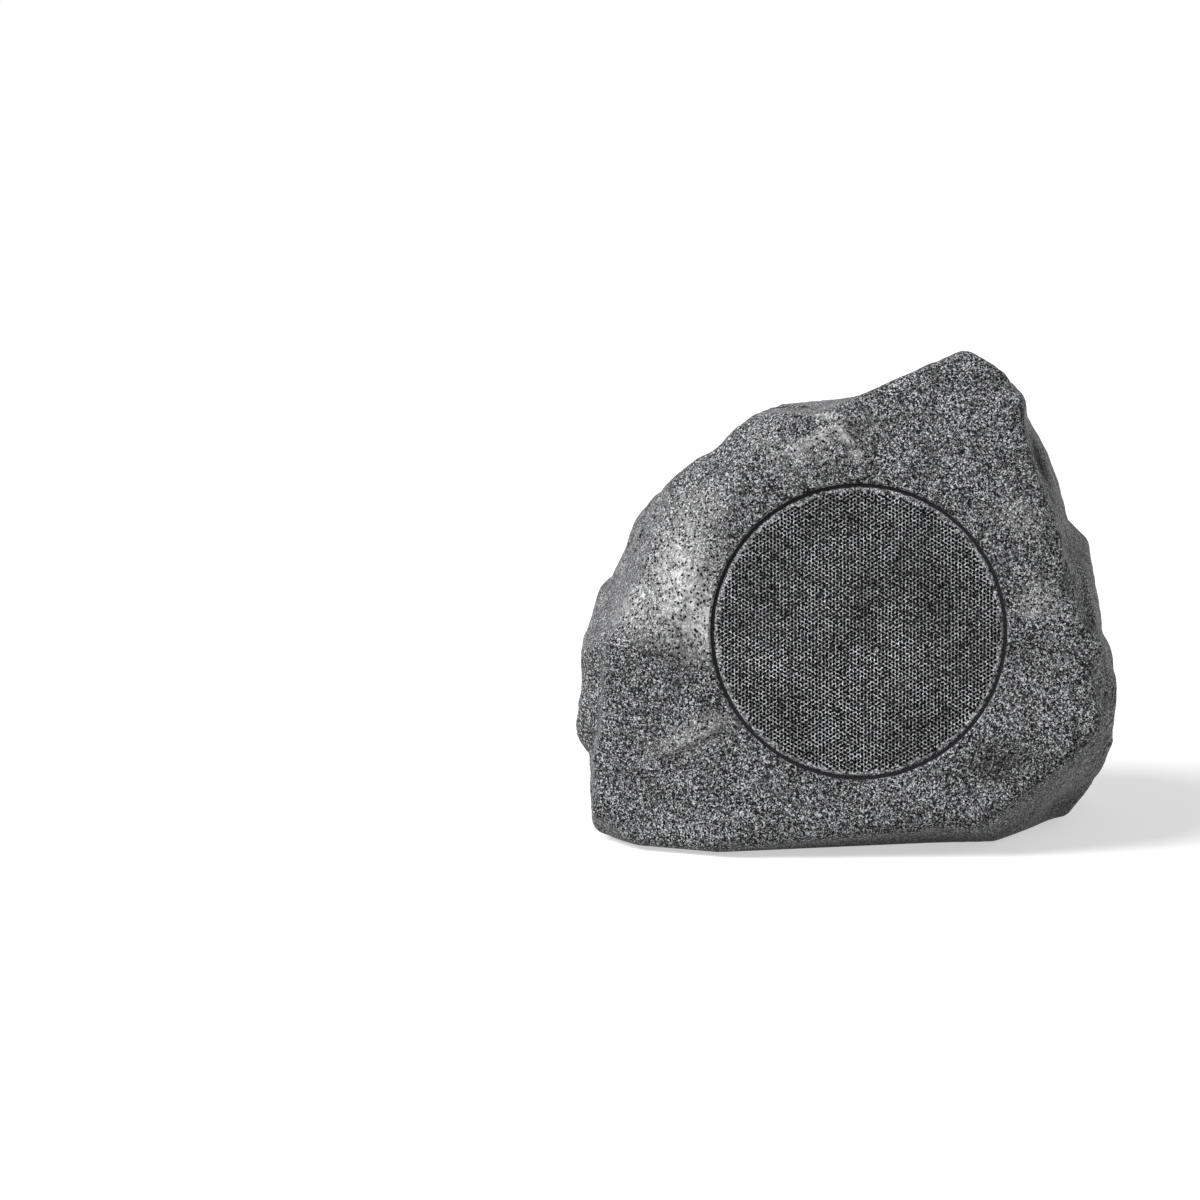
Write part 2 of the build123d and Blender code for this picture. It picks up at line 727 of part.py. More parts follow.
def base_screws():
    head_seat = cover_bottom + BASE_SCREW_HEAD_HEIGHT
    length = cover_seat - head_seat + BASE_SCREW_BITE
    screw = head_screw(BASE_SCREW_DIAMETER, BASE_SCREW_HEAD, BASE_SCREW_HEAD_HEIGHT, length)
    return copies(Pos(0, 0, head_seat) * Rot(180, 0, 0) * screw, base_screw_places)


def rubber_feet():
    top = ROCK_LIFT + FOOT_SEAT
    half = FOOT_DIAMETER / 2
    foot = turned((0, 0), (half - FOOT_TAPER, 0), (half, ROCK_LIFT), (half, top), (0, top))
    return copies(foot, foot_places)


# Crossover
def crossover_board():
    board = rounded_plate(BOARD_WIDTH, BOARD_DEPTH, BOARD_CORNER, board_bottom, board_top)
    hole = disc(BOARD_SCREW_DIAMETER + 2 * SCREW_CLEARANCE, board_bottom, board_top)
    return cover_frame * board - copies(hole, standoff_places)


def crossover_screws():
    length = BOARD_THICKNESS + BOARD_SCREW_BITE
    screw = head_screw(BOARD_SCREW_DIAMETER, BOARD_SCREW_HEAD, BOARD_SCREW_HEAD_HEIGHT, length)
    return copies(Pos(0, 0, board_top) * screw, standoff_places)


screw_strip = 2 * STANDOFF_INSET + PART_INSET
inductor_place = cover_frame * Pos(-BOARD_WIDTH / 2 + screw_strip + BOBBIN_DIAMETER / 2, PART_INSET, board_top)
capacitor_place = cover_frame * Pos(
    BOARD_WIDTH / 2 - screw_strip - CAPACITOR_DIAMETER / 2, BOARD_DEPTH / 2 - PART_INSET - CAPACITOR_DIAMETER / 2,
    board_top)
resistor_place = cover_frame * Pos(
    BOARD_WIDTH / 2 - screw_strip - RESISTOR_LENGTH / 2, -PART_INSET, board_top + RESISTOR_HEIGHT / 2)
block_place = cover_frame * Pos(0, -BOARD_DEPTH / 2 + BLOCK_DEPTH / 2, board_top + BLOCK_HEIGHT / 2)
block_ways = [(way - (BLOCK_WAYS - 1) / 2) * BLOCK_WIDTH / BLOCK_WAYS for way in range(BLOCK_WAYS)]


def inductor_bobbin():
    low = disc(BOBBIN_DIAMETER, 0, BOBBIN_FLANGE)
    high = disc(BOBBIN_DIAMETER, BOBBIN_HEIGHT - BOBBIN_FLANGE, BOBBIN_HEIGHT)
    return inductor_place * (low + disc(BOBBIN_CORE, 0, BOBBIN_HEIGHT) + high)


def inductor_winding():
    outside = BOBBIN_CORE + 2 * WINDING_DEPTH
    return inductor_place * ring(outside, BOBBIN_CORE, BOBBIN_FLANGE, BOBBIN_HEIGHT - BOBBIN_FLANGE)


def capacitor():
    """A can with its top edge rolled in."""
    half = CAPACITOR_DIAMETER / 2
    return capacitor_place * turned(
        (0, 0), (half, 0), (half, CAPACITOR_HEIGHT - CAPACITOR_ROLL), (half - CAPACITOR_ROLL, CAPACITOR_HEIGHT),
        (0, CAPACITOR_HEIGHT))


def resistor():
    return resistor_place * Box(RESISTOR_LENGTH, RESISTOR_WIDTH, RESISTOR_HEIGHT)


def terminal_block():
    """A block of screw terminals: wire entries in front and screw wells on top."""
    body = Box(BLOCK_WIDTH, BLOCK_DEPTH, BLOCK_HEIGHT)
    entry = Box(BLOCK_ENTRY, BLOCK_ENTRY_DEPTH, BLOCK_ENTRY)
    screw_well = Box(BLOCK_ENTRY, BLOCK_ENTRY, BLOCK_ENTRY)
    entry_y = (BLOCK_ENTRY_DEPTH - BLOCK_DEPTH) / 2
    entry_z = BLOCK_ENTRY_RISE - BLOCK_HEIGHT / 2
    for x in block_ways:
        body = body - Pos(x, entry_y, entry_z) * entry - Pos(x, 0, (BLOCK_HEIGHT - BLOCK_ENTRY) / 2) * screw_well
    return block_place * body


# Leads
def block_entry(way):
    """Where a lead meets the front of the terminal block."""
    return Vector(block_ways[way], COVER_SETBACK - BOARD_DEPTH / 2, block_entry_height)


def woofer_leads():
    """Two leads from the tags down to the outer terminals."""
    height = motor_seat - STRIP_THICKNESS - TAG_THICKNESS / 2
    leads = []
    for side, way in ((-1, 0), (1, BLOCK_WAYS - 1)):
        x = side * TAG_SPACING / 2
        start = speaker_frame.from_local_coords(Vector(x, tag_end(), height))
        below = speaker_frame.from_local_coords(Vector(x, tag_end() - LEAD_DROP, height))
        finish = block_entry(way)
        leads.append(lead([start, below, finish - Vector(0, LEAD_STRAIGHT, 0), finish]))
    return Compound(children=leads)


def tweeter_leads():
    """Two leads from the hollow post, down behind the terminal block to the board."""
    leads = []
    for side in (-1, 1):
        x = side * TWEETER_LEAD_SPACING / 2
        start = speaker_frame.from_local_coords(Vector(x, 0, yoke_back))
        behind = speaker_frame.from_local_coords(Vector(x, 0, yoke_back - TWEETER_LEAD_STRAIGHT))
        pad_x = TWEETER_PAD_X + side * TWEETER_PAD_SPACING / 2
        finish = Vector(pad_x, COVER_SETBACK + TWEETER_PAD_Y, board_top)
        above = finish + Vector(0, 0, 2 * TWEETER_LEAD_STRAIGHT)
        leads.append(lead([start, behind, above, finish]))
    return Compound(children=leads)


# Cable gland, built from the pocket's floor outwards
def gland_body():
    body = hexagon(GLAND_ACROSS_FLATS, 0, GLAND_FLANGE)
    body = body + disc(GLAND_THREAD, -GLAND_FLOOR - GLAND_TAIL, GLAND_FLANGE + GLAND_NECK)
    return body - disc(GLAND_BORE, -GLAND_FLOOR - GLAND_TAIL, GLAND_FLANGE + GLAND_NECK)


def seal_span():
    low = GLAND_FLANGE + FIT
    return low, low + SEAL_LENGTH


def gland_seal():
    low, high = seal_span()
    return ring(GLAND_BORE - 2 * FIT, SEAL_BORE, low, high)


def gland_nut():
    """A domed hexagon cap that squeezes the seal."""
    low = GLAND_FLANGE + FIT
    top = low + GLAND_NUT_HEIGHT
    shoulder = top - GLAND_NUT_DOME
    outside = GLAND_ACROSS_FLATS / math.sqrt(3)
    blank = hexagon(GLAND_ACROSS_FLATS, low, top) & turned(
        (0, low), (outside, low), (outside, shoulder), (GLAND_NUT_NOSE / 2, top), (0, top))
    neck_top = GLAND_FLANGE + GLAND_NECK + FIT
    seal_top = seal_span()[1] + FIT
    return blank - disc(GLAND_THREAD + 2 * FIT, low, neck_top) - disc(
        GLAND_BORE, neck_top, seal_top) - disc(GLAND_NUT_MOUTH, seal_top, top)


def gland_locknut():
    top = -GLAND_FLOOR
    return hexagon(LOCKNUT_ACROSS_FLATS, top - LOCKNUT_HEIGHT, top) - disc(
        GLAND_THREAD + 2 * FIT, top - LOCKNUT_HEIGHT, top)


ON_SPEAKER_AXIS = (
    grille, grille_scrim, grille_gasket, driver_gasket, driver_basket, surround, cone, spider,
    voice_coil_former, voice_coil, top_plate, magnet, yoke, tweeter_post, tweeter_housing, tweeter_dome,
    terminal_strip, terminal_tags, driver_screws,
)
ON_GLAND_AXIS = (gland_body, gland_seal, gland_nut, gland_locknut)
IN_PLACE = (
    rock_shell, base_gasket, base_cover, base_screws, rubber_feet, crossover_board, crossover_screws,
    inductor_bobbin, inductor_winding, capacitor, resistor, terminal_block, woofer_leads, tweeter_leads,
)

os.makedirs("parts", exist_ok=True)
for frame, makers in ((speaker_frame, ON_SPEAKER_AXIS), (gland_frame, ON_GLAND_AXIS), (Plane.XY, IN_PLACE)):
    for maker in makers:
        export_step(frame * maker(), f"parts/{maker.__name__}.step")
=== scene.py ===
import json
import math

import bmesh
import bpy
import numpy as np
from mathutils import Matrix, Vector, noise
from mathutils.bvhtree import BVHTree
from mathutils.geometry import delaunay_2d_cdt


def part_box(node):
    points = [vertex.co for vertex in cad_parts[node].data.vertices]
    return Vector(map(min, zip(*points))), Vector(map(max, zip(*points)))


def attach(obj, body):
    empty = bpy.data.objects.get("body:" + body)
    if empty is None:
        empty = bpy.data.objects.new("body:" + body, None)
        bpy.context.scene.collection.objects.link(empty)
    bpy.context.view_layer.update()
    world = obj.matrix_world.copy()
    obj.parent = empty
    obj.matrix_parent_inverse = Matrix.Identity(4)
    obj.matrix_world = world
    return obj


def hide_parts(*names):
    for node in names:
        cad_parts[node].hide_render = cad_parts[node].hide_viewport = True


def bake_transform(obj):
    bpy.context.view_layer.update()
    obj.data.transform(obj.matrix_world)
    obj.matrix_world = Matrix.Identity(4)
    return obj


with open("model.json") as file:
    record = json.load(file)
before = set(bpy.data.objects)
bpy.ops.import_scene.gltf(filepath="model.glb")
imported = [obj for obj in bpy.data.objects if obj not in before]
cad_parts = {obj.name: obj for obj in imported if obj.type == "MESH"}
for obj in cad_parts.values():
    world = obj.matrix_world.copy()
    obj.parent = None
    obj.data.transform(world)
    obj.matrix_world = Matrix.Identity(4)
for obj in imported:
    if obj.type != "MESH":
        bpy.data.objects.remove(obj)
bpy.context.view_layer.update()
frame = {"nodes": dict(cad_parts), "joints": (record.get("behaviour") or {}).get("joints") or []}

MM = 0.001
ROOT = "speaker"

# Stone: the point its surface is seen from, the middle of its front from there, and its skin's fineness
HEART = Vector((2.96, -10.86, 112)) * MM
FRONT_RIGHT = 5 * MM
FRONT_UP = -12 * MM
FRONT_OUT = 93 * MM
STONE_LEVEL = 7
CAVITY_LEVEL = 5
FINE_FRONT = -0.3
STONE_WALL = 6 * MM
CAVITY_INSET = 1.2 * STONE_WALL
FLOOR_TOP = 10 * MM
SOFTEN_ROUNDS = 4
SOFTEN_SHARE = 0.5
CUTTER_OVER = 20 * MM

# Rays: a distance beyond the stone, and the least slope at which one meets a plane
FAR = 1.0
LEAST_SLOPE = 1e-3

# Undulation of the stone: size of the forms, how far they rise and how they fade round the pockets
SWELL_SIZE = 42 * MM
SWELL_RISE = 1.2 * MM
SWELL_FALL = 1.0
SWELL_STEP = 2.0
SWELL_LAYERS = 3
CHIP_FORMS = ((24 * MM, 0.8 * MM), (10 * MM, 0.3 * MM))
CHIP_SCATTER = 13.7
PIT_SIZE = 5 * MM
PIT_RISE = 0.25 * MM
RIM_PLAIN = 3 * MM
RIM_FADE = 10 * MM

# Grille and its pocket: radii about the speaker's axis, and depths from the stone's front face
GRILLE_SET_BACK = 1.5 * MM
GRILLE_RIM = 8 * MM
GRILLE_RADIUS = 72 * MM
GRILLE_BEND = 1.6 * MM
GRILLE_SHEET = 1 * MM
HOLE_PITCH = 2 * MM
HOLE_ACROSS = 1.46 * MM
HOLE_SIDES = 8
HOLE_MARGIN = 0.2 * MM
CLOG_PLACE = (8.5 * MM, -10 * MM)
CLOGGED_HOLES = 2
EDGE_STEPS = 180
BEND_STEPS = 5
POCKET_RADIUS = 73.6 * MM
POCKET_DEPTH = 11.5 * MM
MOUTH_BEVEL = 1 * MM
WELL_RADIUS = 67.5 * MM
WELL_DEPTH = 18 * MM
CUTOUT_RADIUS = 58.5 * MM
BAFFLE_DEPTH = 26 * MM
BAFFLE_RADIUS = 79.6 * MM

# Triangles of the grille's face: none outside its rim, and points this close together are one
INSIDE_ONLY = 1
SAME_POINT = 1e-6

# Soft parts behind the grille: radius and height points along the speaker's axis
SCRIM_RADIUS = 68.5 * MM
SCRIM_FRONT = -2.52 * MM
SCRIM_SHEET = 0.36 * MM
SURROUND_SHEET = 0.8 * MM
SURROUND_LIPS = ((43 * MM, -17.5 * MM), (59 * MM, -13.5 * MM))
SURROUND_ROLL = ((46 * MM, -17.5 * MM), (50.5 * MM, -9.5 * MM), (55 * MM, -13.5 * MM))
SPIDER_SHEET = 0.7 * MM
SPIDER_LEVEL = -45.55 * MM
SPIDER_RISE = 2.4 * MM
SPIDER_WAVE = 1.2 * MM
SPIDER_RADII = (39 * MM, 35.5 * MM, 29.95 * MM, 24.4 * MM, 18.85 * MM, 13.3 * MM)
SPIDER_HEIGHTS = (0, 0, 0.25 * SPIDER_RISE + SPIDER_WAVE, 0.5 * SPIDER_RISE - SPIDER_WAVE,
                  0.75 * SPIDER_RISE + SPIDER_WAVE, SPIDER_RISE)
CURVE_STEPS = 12

# Gland pocket in the back
GLAND_POCKET_RADIUS = 16 * MM
GLAND_POCKET_EDGE = 1 * MM
GLAND_HOLE_RADIUS = 6.2 * MM
GLAND_FLOOR = 6 * MM
GLAND_TAIL = 9 * MM
GLAND_BOSS_RADIUS = 21 * MM
GLAND_CUTTER_LENGTH = 40 * MM
GLAND_BESIDE = 1.3 * GLAND_POCKET_RADIUS
GLAND_TURNS = (90, 210, 330)
POCKET_STEPS = 72

# Underside, with the right feet's places in millimetres
COVER_CORNER = 12 * MM
COVER_FIT = 0.5 * MM
COVER_SEAT = 6.6 * MM
OPENING_LEDGE = 12 * MM
UNDER_EDGE = 2 * MM
FOOT_RADIUS = 9.1 * MM
FOOT_SEAT = 5 * MM
FOOT_STEPS = 48
RIGHT_FEET = ((70, -60), (88, 52))
FEET = [(side * x * MM, y * MM) for side in (-1, 1) for x, y in RIGHT_FEET]
ROCK_LIFT = 2 * MM

# Camera: pixels of the square photograph, the distance in metres and the sensor's width in millimetres
IMAGE_SIZE = 1200
FOCAL_PIXELS = 3618
GRILLE_PIXEL = (858.4, 631.5)
CAMERA_DISTANCE = 1.8
SENSOR_WIDTH = 36

# Larger marks of the stone's face, placed by pixels of the photograph, with sizes in millimetres and turns
# in degrees. Rise is how far a mark stands out, and deep is how far it runs back. Tone is how much paler
# or darker the coat is painted there: above 1 it is partly pale brushing on high parts and partly a painted
# highlight where the key light falls, and below 1 it is painted shade in hollows. A line fades out over a
# share of its length at each end.
MARK_DEPTH = 30
LINE_FADE = 0.25
TONE = "tone"


def swell(middle, half, turn=0, **effects):
    """A smooth round rise or hollow."""
    return {"kind": "swell", "middle": middle, "half": half, "turn": turn, **effects}


def scoop(middle, half, turn=0, **effects):
    """A round rise or hollow with a sharp rim."""
    return {**swell(middle, half, turn, **effects), "kind": "scoop"}


def crease(first, last, half, **effects):
    """A fold along a line."""
    return {"kind": "crease", "line": (first, last), "half": half, **effects}


def ridge(first, last, half, drop, **effects):
    """A slope up to a line and a drop beyond it, with the high side left of a line that runs down."""
    return {"kind": "ridge", "line": (first, last), "half": half, "drop": drop, **effects}


MARKS = (
    # brow
    swell((806, 442), half=(28, 14), turn=12, tone=0.09),
    ridge((838, 406), (872, 474), half=22, drop=6, rise=1.8),
    crease((804, 411), (847, 420), half=2, rise=1, tone=0.3),
    crease((752, 468), (794, 450), half=3, rise=1.2, tone=0.14),
    crease((786, 453), (842, 426), half=4, rise=1.6, tone=0.25),
    crease((836, 420), (864, 466), half=3.5, rise=1.2, tone=0.22),
    scoop((806, 430), half=(18, 6), turn=14, rise=-1.2, tone=-0.1),
    swell((759, 462), half=(2.5, 4), rise=-1.4, tone=-0.4),
    swell((770, 436), half=(8, 5), turn=20, rise=0.6, tone=0.05),
    # left shoulder and cheek
    swell((682, 590), half=(18, 34), turn=4, tone=0.28),
    swell((678, 566), half=(9, 20), turn=4, rise=1.8, tone=0.1),
    swell((700, 620), half=(9, 13), turn=10, rise=1.5, tone=0.36),
    swell((632, 610), half=(6, 12), turn=-15, rise=1.4, tone=0.25),
    crease((694, 596), (704, 640), half=2.5, rise=1, tone=0.25),
    crease((660, 560), (690, 592), half=2.5, rise=0.8, tone=0.1),
    swell((700, 508), half=(12, 9), turn=40, rise=1, tone=0.12),
    ridge((712, 652), (598, 642), half=20, drop=5, rise=3),
    crease((652, 508), (615, 622), half=5, rise=1),
    # low left
    swell((660, 690), half=(26, 14), tone=-0.12),
    swell((692, 734), half=(19, 7), turn=26, tone=0.16),
    ridge((732, 720), (650, 758), half=18, drop=5, rise=2.6),
    swell((612, 684), half=(8, 9), rise=-1.2, tone=-0.1),
    # right edge
    swell((1041, 461), half=(4, 12), turn=22, rise=-2.5, tone=-0.8, deep=60),
    swell((1023, 517), half=(12, 7), turn=-20, rise=1.4, tone=0.1),
    swell((1040, 600), half=(7, 10), turn=8, rise=1.8, tone=0.16),
    crease((1008, 612), (1036, 616), half=2, rise=0.9, tone=0.15),
    scoop((1082, 572), half=(10, 28), turn=8, rise=-5, tone=0.07),
    ridge((1062, 612), (1096, 640), half=16, drop=2, rise=3.5),
    swell((1090, 624), half=(6, 6), turn=30, rise=-2.4, tone=-0.2, deep=60),
    swell((1098, 650), half=(7, 6), turn=30, rise=2.2, deep=60),
    # low right
    swell((1038, 652), half=(15, 9), rise=-1.8, tone=-0.32),
    swell((1030, 716), half=(17, 10), turn=12, rise=1.5),
    swell((1004, 764), half=(19, 8), turn=8, rise=-2.4, tone=-0.6),
    crease((1072, 708), (1070, 754), half=2.5, rise=-1.6, tone=-0.3),
    swell((1046, 766), half=(42, 14), turn=46, rise=6.5),
    swell((1050, 792), half=(38, 9), turn=36, rise=3),
    swell((1058, 794), half=(38, 12), turn=36, tone=0.14),
    # outline, where marks run far back round the side
    swell((722, 454), half=(9, 9), rise=-3.5, deep=90),
    swell((816, 414), half=(7, 8), rise=-3, deep=90),
    swell((602, 648), half=(11, 14), rise=5.5, deep=90),
    swell((602, 760), half=(12, 9), rise=2.5, deep=90),
    swell((1012, 407), half=(9, 8), turn=20, rise=6),
    swell((1001, 386), half=(5, 5), turn=20, rise=-4, deep=60),
    swell((1060, 810), half=(13, 10), turn=36, rise=-2.6, deep=200),
    swell((601, 824), half=(8, 9), rise=-3, deep=200),
)

# The speaker's own frame, out of the grille, to its right and up its face, and the gland behind
OUT = Vector(frame["joints"][0]["axis"]).normalized()
RIGHT = Vector((1, 0, 0))
UP = OUT.cross(RIGHT)


def centre_of(node):
    """Middle of a solid's box."""
    low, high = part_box(node)
    return (low + high) / 2


FRONT_CENTRE = HEART + RIGHT * FRONT_RIGHT + UP * FRONT_UP + OUT * FRONT_OUT
SPEAKER_PLACE = Matrix.Translation(FRONT_CENTRE) @ Matrix((RIGHT, UP, OUT)).transposed().to_4x4()
BACK = Vector((0, 1, 0))
GLAND_CENTRE = Vector((centre_of("gland_seal").x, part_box("gland_body")[0].y, centre_of("gland_seal").z))
GLAND_SEAT = GLAND_CENTRE.y + GLAND_TAIL + GLAND_FLOOR


# Shared mesh tools
def piece(name, mesh):
    """Turns a bmesh into an object of the scene."""
    data = bpy.data.meshes.new(name)
    mesh.to_mesh(data)
    mesh.free()
    made = bpy.data.objects.new(name, data)
    bpy.context.scene.collection.objects.link(made)
    return made


def circle(radius, steps):
    """Even points all the way round a circle."""
    angles = [2 * math.pi * step / steps for step in range(steps)]
    return [(radius * math.cos(a), radius * math.sin(a)) for a in angles]


def neighbours(count):
    """Each number of a closed ring with the one after it."""
    return [(i, (i + 1) % count) for i in range(count)]


def lathe(name, section, place, steps=EDGE_STEPS, ring=False):
    """A closed mesh turned about z from the radius and height points of its section."""
    mesh = bmesh.new()
    rows = []
    for radius, height in section:
        if radius == 0:
            rows.append([mesh.verts.new((0, 0, height))])
        else:
            rows.append([mesh.verts.new((x, y, height)) for x, y in circle(radius, steps)])
    pairs = list(zip(rows, rows[1:]))
    if ring:
        pairs.append((rows[-1], rows[0]))
    for low, high in pairs:
        for i, j in neighbours(steps):
            corners = (low[i % len(low)], low[j % len(low)], high[j % len(high)], high[i % len(high)])
            mesh.faces.new(list(dict.fromkeys(corners)))
    bmesh.ops.recalc_face_normals(mesh, faces=mesh.faces)
    mesh.transform(place)
    return piece(name, mesh)


def rounded_slab(name, low, high, corner, bottom, top, corner_steps=8):
    """A rounded rectangle between two heights."""
    mesh = bmesh.new()
    outline = []
    for x, y, turn in ((high.x, high.y, 0), (low.x, high.y, 1), (low.x, low.y, 2), (high.x, low.y, 3)):
        middle_x = x - math.copysign(corner, x - (low.x + high.x) / 2)
        middle_y = y - math.copysign(corner, y - (low.y + high.y) / 2)
        for step in range(corner_steps + 1):
            angle = (turn + step / corner_steps) * math.pi / 2
            outline.append((middle_x + corner * math.cos(angle), middle_y + corner * math.sin(angle)))
    rows = [[mesh.verts.new((x, y, height)) for x, y in outline] for height in (bottom, top)]
    mesh.faces.new(rows[0])
    mesh.faces.new(rows[1])
    for i, j in neighbours(len(outline)):
        mesh.faces.new((rows[0][i], rows[0][j], rows[1][j], rows[1][i]))
    bmesh.ops.recalc_face_normals(mesh, faces=mesh.faces)
    return piece(name, mesh)


def cut_away(body, cutters):
    """Cuts every cutter out of a body and removes the cutters."""
    for cutter in cutters:
        step = body.modifiers.new(cutter.name, "BOOLEAN")
        step.operation = "DIFFERENCE"
        step.solver = "MANIFOLD"
        step.object = cutter
    bpy.context.view_layer.update()
    evaluated = body.evaluated_get(bpy.context.evaluated_depsgraph_get())
    cut = bpy.data.meshes.new_from_object(evaluated)
    body.modifiers.clear()
    body.data = cut
    for cutter in cutters:
        bpy.data.objects.remove(cutter)


def smooth(body, sharp_degrees=40):
    """Shades a body smooth but for its sharp edges."""
    body.data.shade_smooth()
    body.data.set_sharp_from_angle(angle=math.radians(sharp_degrees))


# Camera
def camera_axes():
    """Right, up and forward of a camera on the grille's axis, turned so the grille lands on its pixel."""
    aside = GRILLE_PIXEL[0] - IMAGE_SIZE / 2
    below = GRILLE_PIXEL[1] - IMAGE_SIZE / 2
    pitch = math.atan(below / FOCAL_PIXELS)
    yaw = math.atan(aside * math.cos(pitch) / FOCAL_PIXELS)
    ahead = -OUT * math.cos(yaw) - RIGHT * math.sin(yaw)
    right = RIGHT * math.cos(yaw) - OUT * math.sin(yaw)
    forward = ahead * math.cos(pitch) + UP * math.sin(pitch)
    return right, right.cross(forward), forward


CAMERA_PLACE = FRONT_CENTRE + OUT * CAMERA_DISTANCE
CAMERA_RIGHT, CAMERA_UP, CAMERA_FORWARD = camera_axes()


def add_camera():
    """The camera that the photograph was taken with."""
    data = bpy.data.cameras.new("camera")
    data.sensor_width = SENSOR_WIDTH
    data.lens = SENSOR_WIDTH * FOCAL_PIXELS / IMAGE_SIZE
    made = bpy.data.objects.new("camera", data)
    bpy.context.scene.collection.objects.link(made)
    turn = Matrix((CAMERA_RIGHT, CAMERA_UP, -CAMERA_FORWARD)).transposed().to_4x4()
    made.matrix_world = Matrix.Translation(CAMERA_PLACE) @ turn
    bpy.context.scene.camera = made


def sight_line(pixel):
    """The direction from the camera through a pixel of the photograph."""
    aside = (pixel[0] - IMAGE_SIZE / 2) / FOCAL_PIXELS
    above = (IMAGE_SIZE / 2 - pixel[1]) / FOCAL_PIXELS
    return (CAMERA_FORWARD + CAMERA_RIGHT * aside + CAMERA_UP * above).normalized()


# Stone
solid_stone = BVHTree.FromObject(frame["nodes"]["rock_shell"], bpy.context.evaluated_depsgraph_get())


def sphere_of_directions(level, fine_below=-1):
    """An even sphere, with finer faces where y is below a limit."""
    mesh = bmesh.new()
    bmesh.ops.create_icosphere(mesh, subdivisions=level, radius=1)
    fine = [face for face in mesh.faces if face.calc_center_median().y < fine_below]
    if fine:
        edges = list({edge for face in fine for edge in face.edges})
        bmesh.ops.subdivide_edges(mesh, edges=edges, cuts=1, use_grid_fill=True)
        bmesh.ops.triangulate(mesh, faces=mesh.faces)
    mesh.verts.index_update()
    return mesh, np.array([v.co.normalized()[:] for v in mesh.verts])


def reach_of_plane(directions, point, normal):
    """How far from the heart each direction meets a plane, and infinity where it never does."""
    slope = directions @ np.array(normal)
    height = (Vector(point) - HEART).dot(normal)
    return np.where(slope > LEAST_SLOPE, height / np.maximum(slope, LEAST_SLOPE), np.inf)


def points_at(directions, reach):
    """Places at given distances from the heart."""
    return np.array(HEART) + directions * np.minimum(reach, FAR)[:, None]


def off_axis(points, origin, axis):
    """Distance of points from a line."""
    offset = points - np.array(origin)
    along = offset @ np.array(axis)
    return np.linalg.norm(offset - along[:, None] * np.array(axis), axis=1)


def gland_plane():
    """The plane of the stone's back around the gland pocket, from three places beside it."""
    found = []
    for turn in GLAND_TURNS:
        angle = math.radians(turn)
        beside = Vector((GLAND_BESIDE * math.cos(angle), FAR, GLAND_BESIDE * math.sin(angle)))
        found.append(solid_stone.ray_cast(GLAND_CENTRE + beside, -BACK)[0])
    normal = (found[1] - found[0]).cross(found[2] - found[0]).normalized()
    return found[0], normal if normal.y > 0 else -normal


def in_underside_cut(points):
    """Whether points of the underside lie in the base cover's recess or a foot's seat."""
    low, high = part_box("base_cover")
    inside = (points[:, 0] > low.x - UNDER_EDGE) & (points[:, 0] < high.x + UNDER_EDGE)
    inside &= (points[:, 1] > low.y - UNDER_EDGE) & (points[:, 1] < high.y + UNDER_EDGE)
    for x, y in FEET:
        inside |= np.hypot(points[:, 0] - x, points[:, 1] - y) < FOOT_RADIUS + UNDER_EDGE
    return inside


def stone_reach(directions):
    """Distance from the heart to the stone's outer face, with its pockets filled level."""
    reach = np.empty(len(directions))
    for i, direction in enumerate(directions):
        met = solid_stone.ray_cast(HEART + Vector(direction) * FAR, -Vector(direction))[0]
        reach[i] = (met - HEART).length if met else 0

    front = reach_of_plane(directions, FRONT_CENTRE, OUT)
    aside = off_axis(points_at(directions, front), FRONT_CENTRE, OUT)
    mouth = np.isfinite(front) & (aside < POCKET_RADIUS + 2 * MOUTH_BEVEL)
    reach[mouth] = front[mouth]

    back = reach_of_plane(directions, *gland_plane())
    aside = off_axis(points_at(directions, back), GLAND_CENTRE, BACK)
    pocket = np.isfinite(back) & (aside < GLAND_POCKET_RADIUS + GLAND_POCKET_EDGE)
    reach[pocket] = back[pocket]

    under = reach_of_plane(directions, Vector((0, 0, ROCK_LIFT)), Vector((0, 0, -1)))
    recess = np.isfinite(under) & in_underside_cut(points_at(directions, under))
    reach[recess] = under[recess]
    return reach


def eased_share(values):
    """Values kept between 0 and 1, with a soft start and end."""
    share = np.clip(values, 0, 1)
    return share * share * (3 - 2 * share)


def stillness(points, underneath):
    """0 where the surface stays as the solid is, round the pockets or also underneath, and 1 elsewhere."""
    rim = off_axis(points, FRONT_CENTRE, OUT) - POCKET_RADIUS - MOUTH_BEVEL
    rim = np.where((points - np.array(FRONT_CENTRE)) @ np.array(OUT) > -RIM_FADE, rim, RIM_FADE + RIM_PLAIN)
    pocket = np.where(points[:, 1] > 0, off_axis(points, GLAND_CENTRE, BACK) - GLAND_POCKET_RADIUS, FAR)
    nearest = np.minimum(rim, pocket)
    if underneath:
        nearest = np.minimum(nearest, points[:, 2] - ROCK_LIFT)
    return eased_share((nearest - RIM_PLAIN) / RIM_FADE)


def soften(values, pairs, hold):
    """Eases the creases of a field of values over the skin's edges, less where it is held."""
    counts = np.bincount(pairs.ravel(), minlength=len(values))
    for _ in range(SOFTEN_ROUNDS):
        total = np.bincount(pairs[:, 0], values[pairs[:, 1]], len(values))
        total += np.bincount(pairs[:, 1], values[pairs[:, 0]], len(values))
        values = values + SOFTEN_SHARE * hold * (total / counts - values)
    return values


